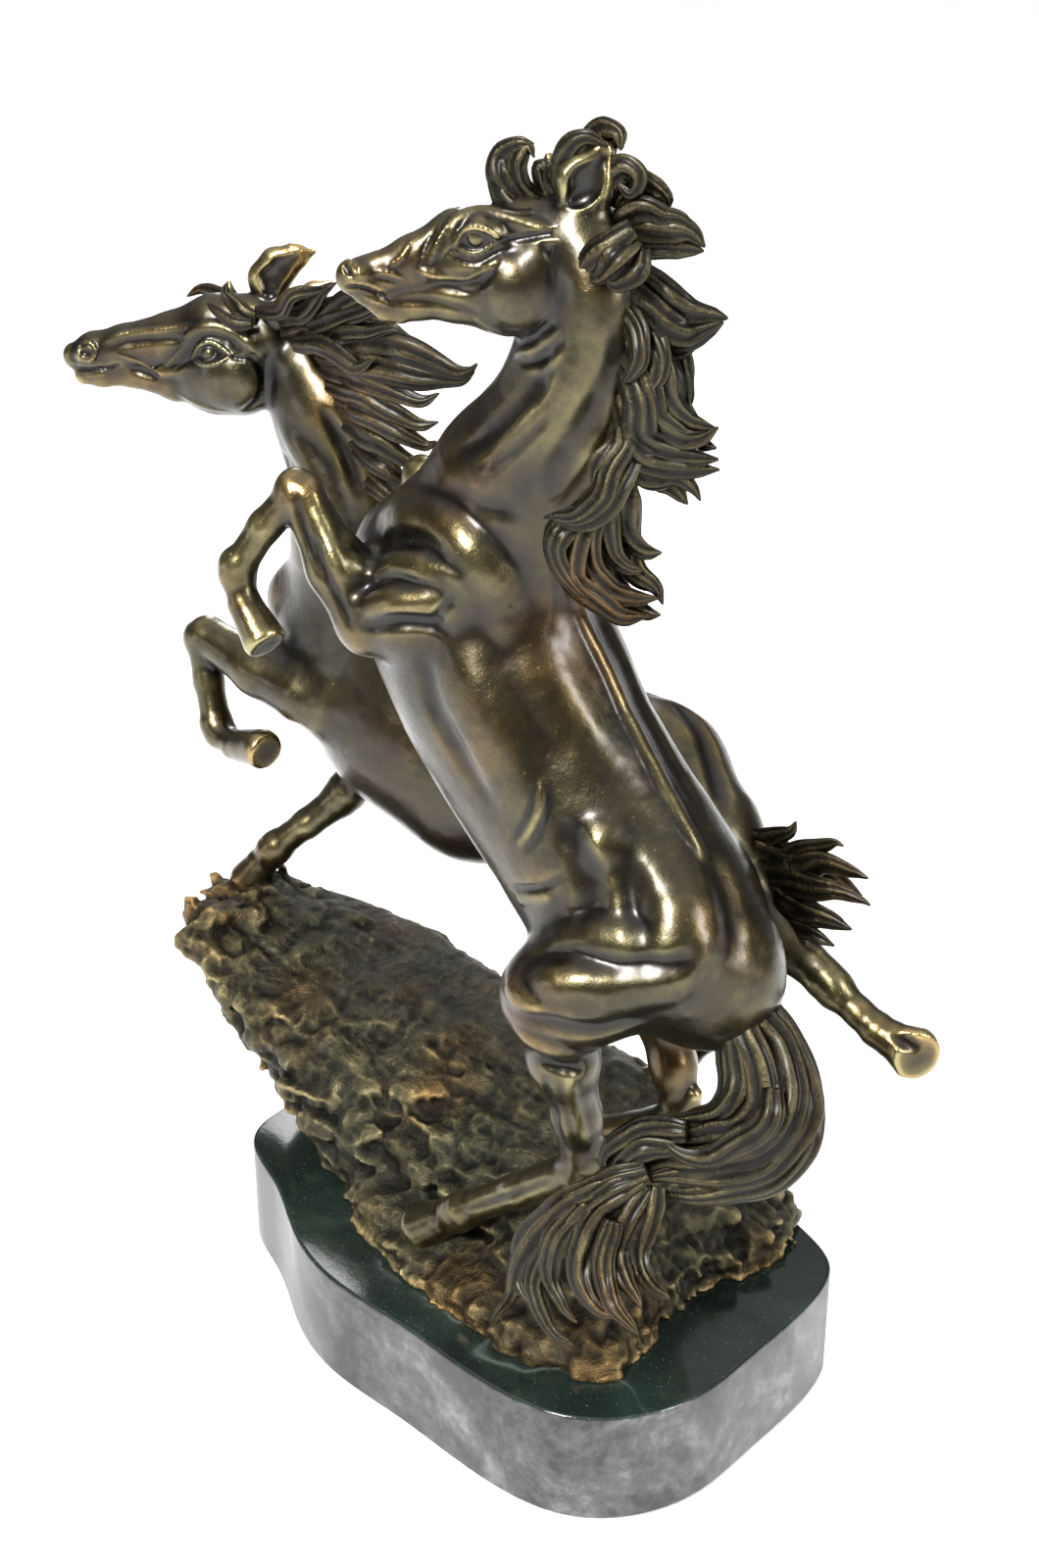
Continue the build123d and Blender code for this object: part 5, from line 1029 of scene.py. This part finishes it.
# far sides, in millimetres: shoulder blade, ribs, flank, hip, thigh, neck furrow
STROKES_FAR_A = [
    ([(-30, 12, 250), (-12, 16, 262), (4, 14, 280)], 3.3, -0.48, 3.5),
    ([(-26, 14, 262), (-8, 18, 272), (6, 12, 290)], 5.75, 0.98, 4.0),
    ([(-20, 16, 236), (2, 18, 246), (22, 14, 258)], 3.3, -0.4, 3.5),
    ([(10, 18, 226), (26, 18, 232), (38, 14, 244)], 3.3, -0.32, 4.0),
    ([(20, 18, 214), (34, 18, 222), (50, 12, 232)], 5.75, 0.6, 5.0),
    ([(40, 14, 180), (52, 16, 196), (60, 12, 210)], 3.9, -0.52, 4.0),
    ([(62, 12, 176), (70, 14, 190), (72, 8, 202)], 8.05, 1.05, 5.0),
    ([(44, 14, 160), (62, 16, 168), (80, 12, 172)], 3.6, -0.48, 4.0),
    ([(10, 0, 300), (22, -4, 322), (28, -8, 350)], 3.3, -0.4, 3.5),
    ([(0, 0, 296), (14, -3, 322), (22, -8, 350)], 6.9, 0.9, 5.0),
    ([(56, 12, 128), (60, 11, 112), (60, 9, 100)], 2.1, -0.32, 2.0),
]
STROKES_FAR_B = [
    ([(-112, 60, 190), (-98, 66, 206), (-88, 62, 222)], 5.75, 0.98, 4.0),
    ([(-100, 68, 184), (-86, 70, 200), (-76, 66, 216)], 3.3, -0.48, 3.5),
    ([(-70, 72, 160), (-66, 74, 180), (-60, 70, 200)], 3.3, -0.36, 4.0),
    ([(-50, 72, 158), (-46, 74, 178), (-42, 70, 196)], 5.75, 0.6, 5.0),
    ([(-30, 72, 158), (-26, 74, 176), (-24, 70, 192)], 3.3, -0.32, 4.0),
    ([(-8, 70, 160), (-2, 74, 178), (4, 70, 196)], 3.9, -0.52, 4.0),
    ([(12, 70, 196), (24, 66, 196), (32, 60, 190)], 6.9, 0.98, 5.0),
    ([(0, 74, 172), (14, 74, 176), (28, 68, 176)], 3.6, -0.44, 4.0),
    ([(-104, 50, 236), (-106, 46, 262), (-114, 38, 288)], 6.9, 0.9, 5.0),
    ([(-96, 48, 236), (-98, 44, 262), (-106, 36, 288)], 3.3, -0.4, 3.5),
]


# ------------------------------------------------------------------------ build
def put(ob, node):
    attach(ob, "root")
    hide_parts(node)


def horse(tag, DATA, body_strokes, head_strokes, lo, hi, hlo, hhi, extra):
    """One horse: every casting is its own closed mesh, and the head has a finer grid."""
    h, hh = ((0.72, 0.42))
    names = [d[0] for d in DATA]
    fl, ops = build(DATA, lo, hi, h, strokes=body_strokes)
    for li, nm in enumerate(names):
        if nm == "head":
            continue
        G, F, plo = piece_block(fl, li)
        ob = surface(f"{tag}_{nm}_form", G, plo, h, detail=F, mat=BODY)
        put(ob, f"{tag}_{nm}")
    del fl
    fh, ops2 = build(DATA, hlo, hhi, hh, ops=ops, noise=0.08)
    fh, _ = stroke_on(fh, head_strokes)
    G, F, plo = piece_block(fh, names.index("head"), 1.2)
    ob = surface(f"{tag}_head_form", G, plo, hh, detail=F, mat=BODY)
    put(ob, f"{tag}_head")
    return ops


def stroke_on(fl, strokes):
    sub = build([], None, None, None, strokes=strokes, into=fl)
    return sub


horse("front_stallion", FRONT, STROKES_A + STROKES_FAR_A, STROKES_HA, (-84, -76, 38), (104, 34, 402), (-27, -72, 352), (54, 6, 416), None)
horse("rear_stallion", REAR, STROKES_B + STROKES_FAR_B, STROKES_HB, (-180, -14, 60), (140, 86, 330), (-206, -22, 284), (-108, 46, 356), None)

put(hair("front_stallion_mane_hair", MANE_A + FORE_A, (0.15, -1, 0.1), 3, HAIR), "front_stallion_mane")
put(hair("front_stallion_tail_hair", TAIL_A, (0.3, -0.9, 0.3), 5, HAIR), "front_stallion_tail")
put(hair("rear_stallion_mane_hair", MANE_B + FORE_B, (0.2, -1, 0.2), 7, HAIR), "rear_stallion_mane")
put(hair("rear_stallion_tail_hair", TAIL_B, (0.4, -0.9, 0.2), 9, HAIR), "rear_stallion_tail")

# crust: loose lumps along the front edge of the hollow and over the apron
rr = random.Random(11)
LUMPS = []
for line, n, spread, r0, r1 in ((((240, 1010), (290, 1075), (350, 1120), (405, 1165), (430, 1205)), 34, 14, 2.6, 6.0),
                                (((420, 1290), (470, 1330), (530, 1370), (600, 1400)), 26, 22, 2.4, 5.6),
                                (((200, 930), (260, 915), (330, 930), (400, 965)), 20, 18, 2.6, 5.6),
                                (((700, 1240), (760, 1240), (800, 1220)), 16, 24, 2.4, 5.0)):
    for _ in range(n):
        i = rr.randrange(len(line) - 1)
        t = rr.random()
        x = line[i][0] + (line[i + 1][0] - line[i][0]) * t + rr.gauss(0, spread * 0.5)
        y = line[i][1] + (line[i + 1][1] - line[i][1]) * t + rr.gauss(0, spread * 0.5)
        LUMPS.append(((x, y), rr.uniform(r0, r1), rr.uniform(-0.15, 0.3)))
_, rock = make_rock(ROCK, [((-9, -47, 44), 8, 0), ((12, -0.5, 62), 8, 0), ((13, 46, 62), 8, 0), ((-153, 12.5, 103), 8, 0)],
                    0.75, ROCKM, LUMPS)
put(rock, "rock_base")

for node, mat in (("marble_plinth", MARBLE), ("felt_pad", FELT), ("mounting_studs", STEEL), ("washers", STEEL), ("hex_nuts", STEEL)):
    ob = frame["nodes"][node]
    ob.data.materials.clear()
    ob.data.materials.append(mat)

# ---------------------------------------------------------------- floor and light
bpy.ops.mesh.primitive_plane_add(size=60, location=(0, 0, 0))
floor = bpy.context.object
floor.name = "floor"
fm, nt, bs = nodes_of("floor_paper")
fc = ramp_node(nt, noise_node(nt, coords(nt), 3.0, 3.0), [(0.3, (0.93, 0.93, 0.935)), (0.7, (0.96, 0.96, 0.96))])
nt.links.new(fc, bs.inputs["Base Color"])
bs.inputs["Roughness"].default_value = 0.9
bs.inputs["Specular IOR Level"].default_value = 0.1
floor.data.materials.append(fm)

world = bpy.data.worlds.new("studio")
bpy.context.scene.world = world
world.use_nodes = True
wt = world.node_tree
wt.nodes.clear()
wo = wt.nodes.new("ShaderNodeOutputWorld")
bg = wt.nodes.new("ShaderNodeBackground")
wt.links.new(bg.outputs[0], wo.inputs[0])
tc = wt.nodes.new("ShaderNodeTexCoord")
sp = wt.nodes.new("ShaderNodeSeparateXYZ")
wt.links.new(tc.outputs["Generated"], sp.inputs[0])
wr = ramp_node(wt, math_node(wt, "ADD", math_node(wt, "MULTIPLY", sp.outputs["Z"], 0.5), 0.5),
               [(0.50, (0.15, 0.15, 0.16)), (0.72, (0.18, 0.18, 0.19)), (0.84, (0.88, 0.88, 0.89)), (1.0, (2.1, 2.1, 2.1))])
wt.links.new(wr, bg.inputs["Color"])
bg.inputs["Strength"].default_value = 1.05


def area(name, loc, target, size, power, size_y=None):
    li = bpy.data.lights.new(name, "AREA")
    li.energy = power
    li.shape = "RECTANGLE"
    li.size = size
    li.size_y = size_y or size
    ob = bpy.data.objects.new(name, li)
    bpy.context.scene.collection.objects.link(ob)
    ob.location = loc
    d = Vector(target) - Vector(loc)
    ob.rotation_euler = d.to_track_quat("-Z", "Y").to_euler()
    return ob


area("key", (0.10, -1.15, 1.20), (0.02, 0, 0.24), 0.36, 60.0, 0.55)
area("side", (1.25, 0.05, 0.75), (0, 0, 0.2), 0.24, 21.0, 0.8)
area("low", (-0.75, -1.05, 0.30), (0, 0, 0.05), 0.4, 1.5, 0.25)
area("rim", (-0.9, 0.9, 0.8), (0, 0, 0.25), 0.3, 6.0, 0.6)

# ----------------------------------------------------------------------- camera
cam = bpy.data.cameras.new("camera")
cam.sensor_fit = "VERTICAL"
cam.sensor_height = 36.0
cam.sensor_width = 36.0
cam.lens = 36.0 * VIEW_F / 1600.0
cam.clip_start, cam.clip_end = 0.05, 30.0
co_ = bpy.data.objects.new("camera", cam)
bpy.context.scene.collection.objects.link(co_)
Mx = Matrix.Identity(4)
for i in range(3):
    Mx[i][0], Mx[i][1], Mx[i][2], Mx[i][3] = VIEW_R[i], VIEW_U[i], -VIEW_D[i], VIEW_C[i] * 0.001
co_.matrix_world = Mx
bpy.context.scene.camera = co_
bpy.context.scene.view_settings.view_transform = "Standard"
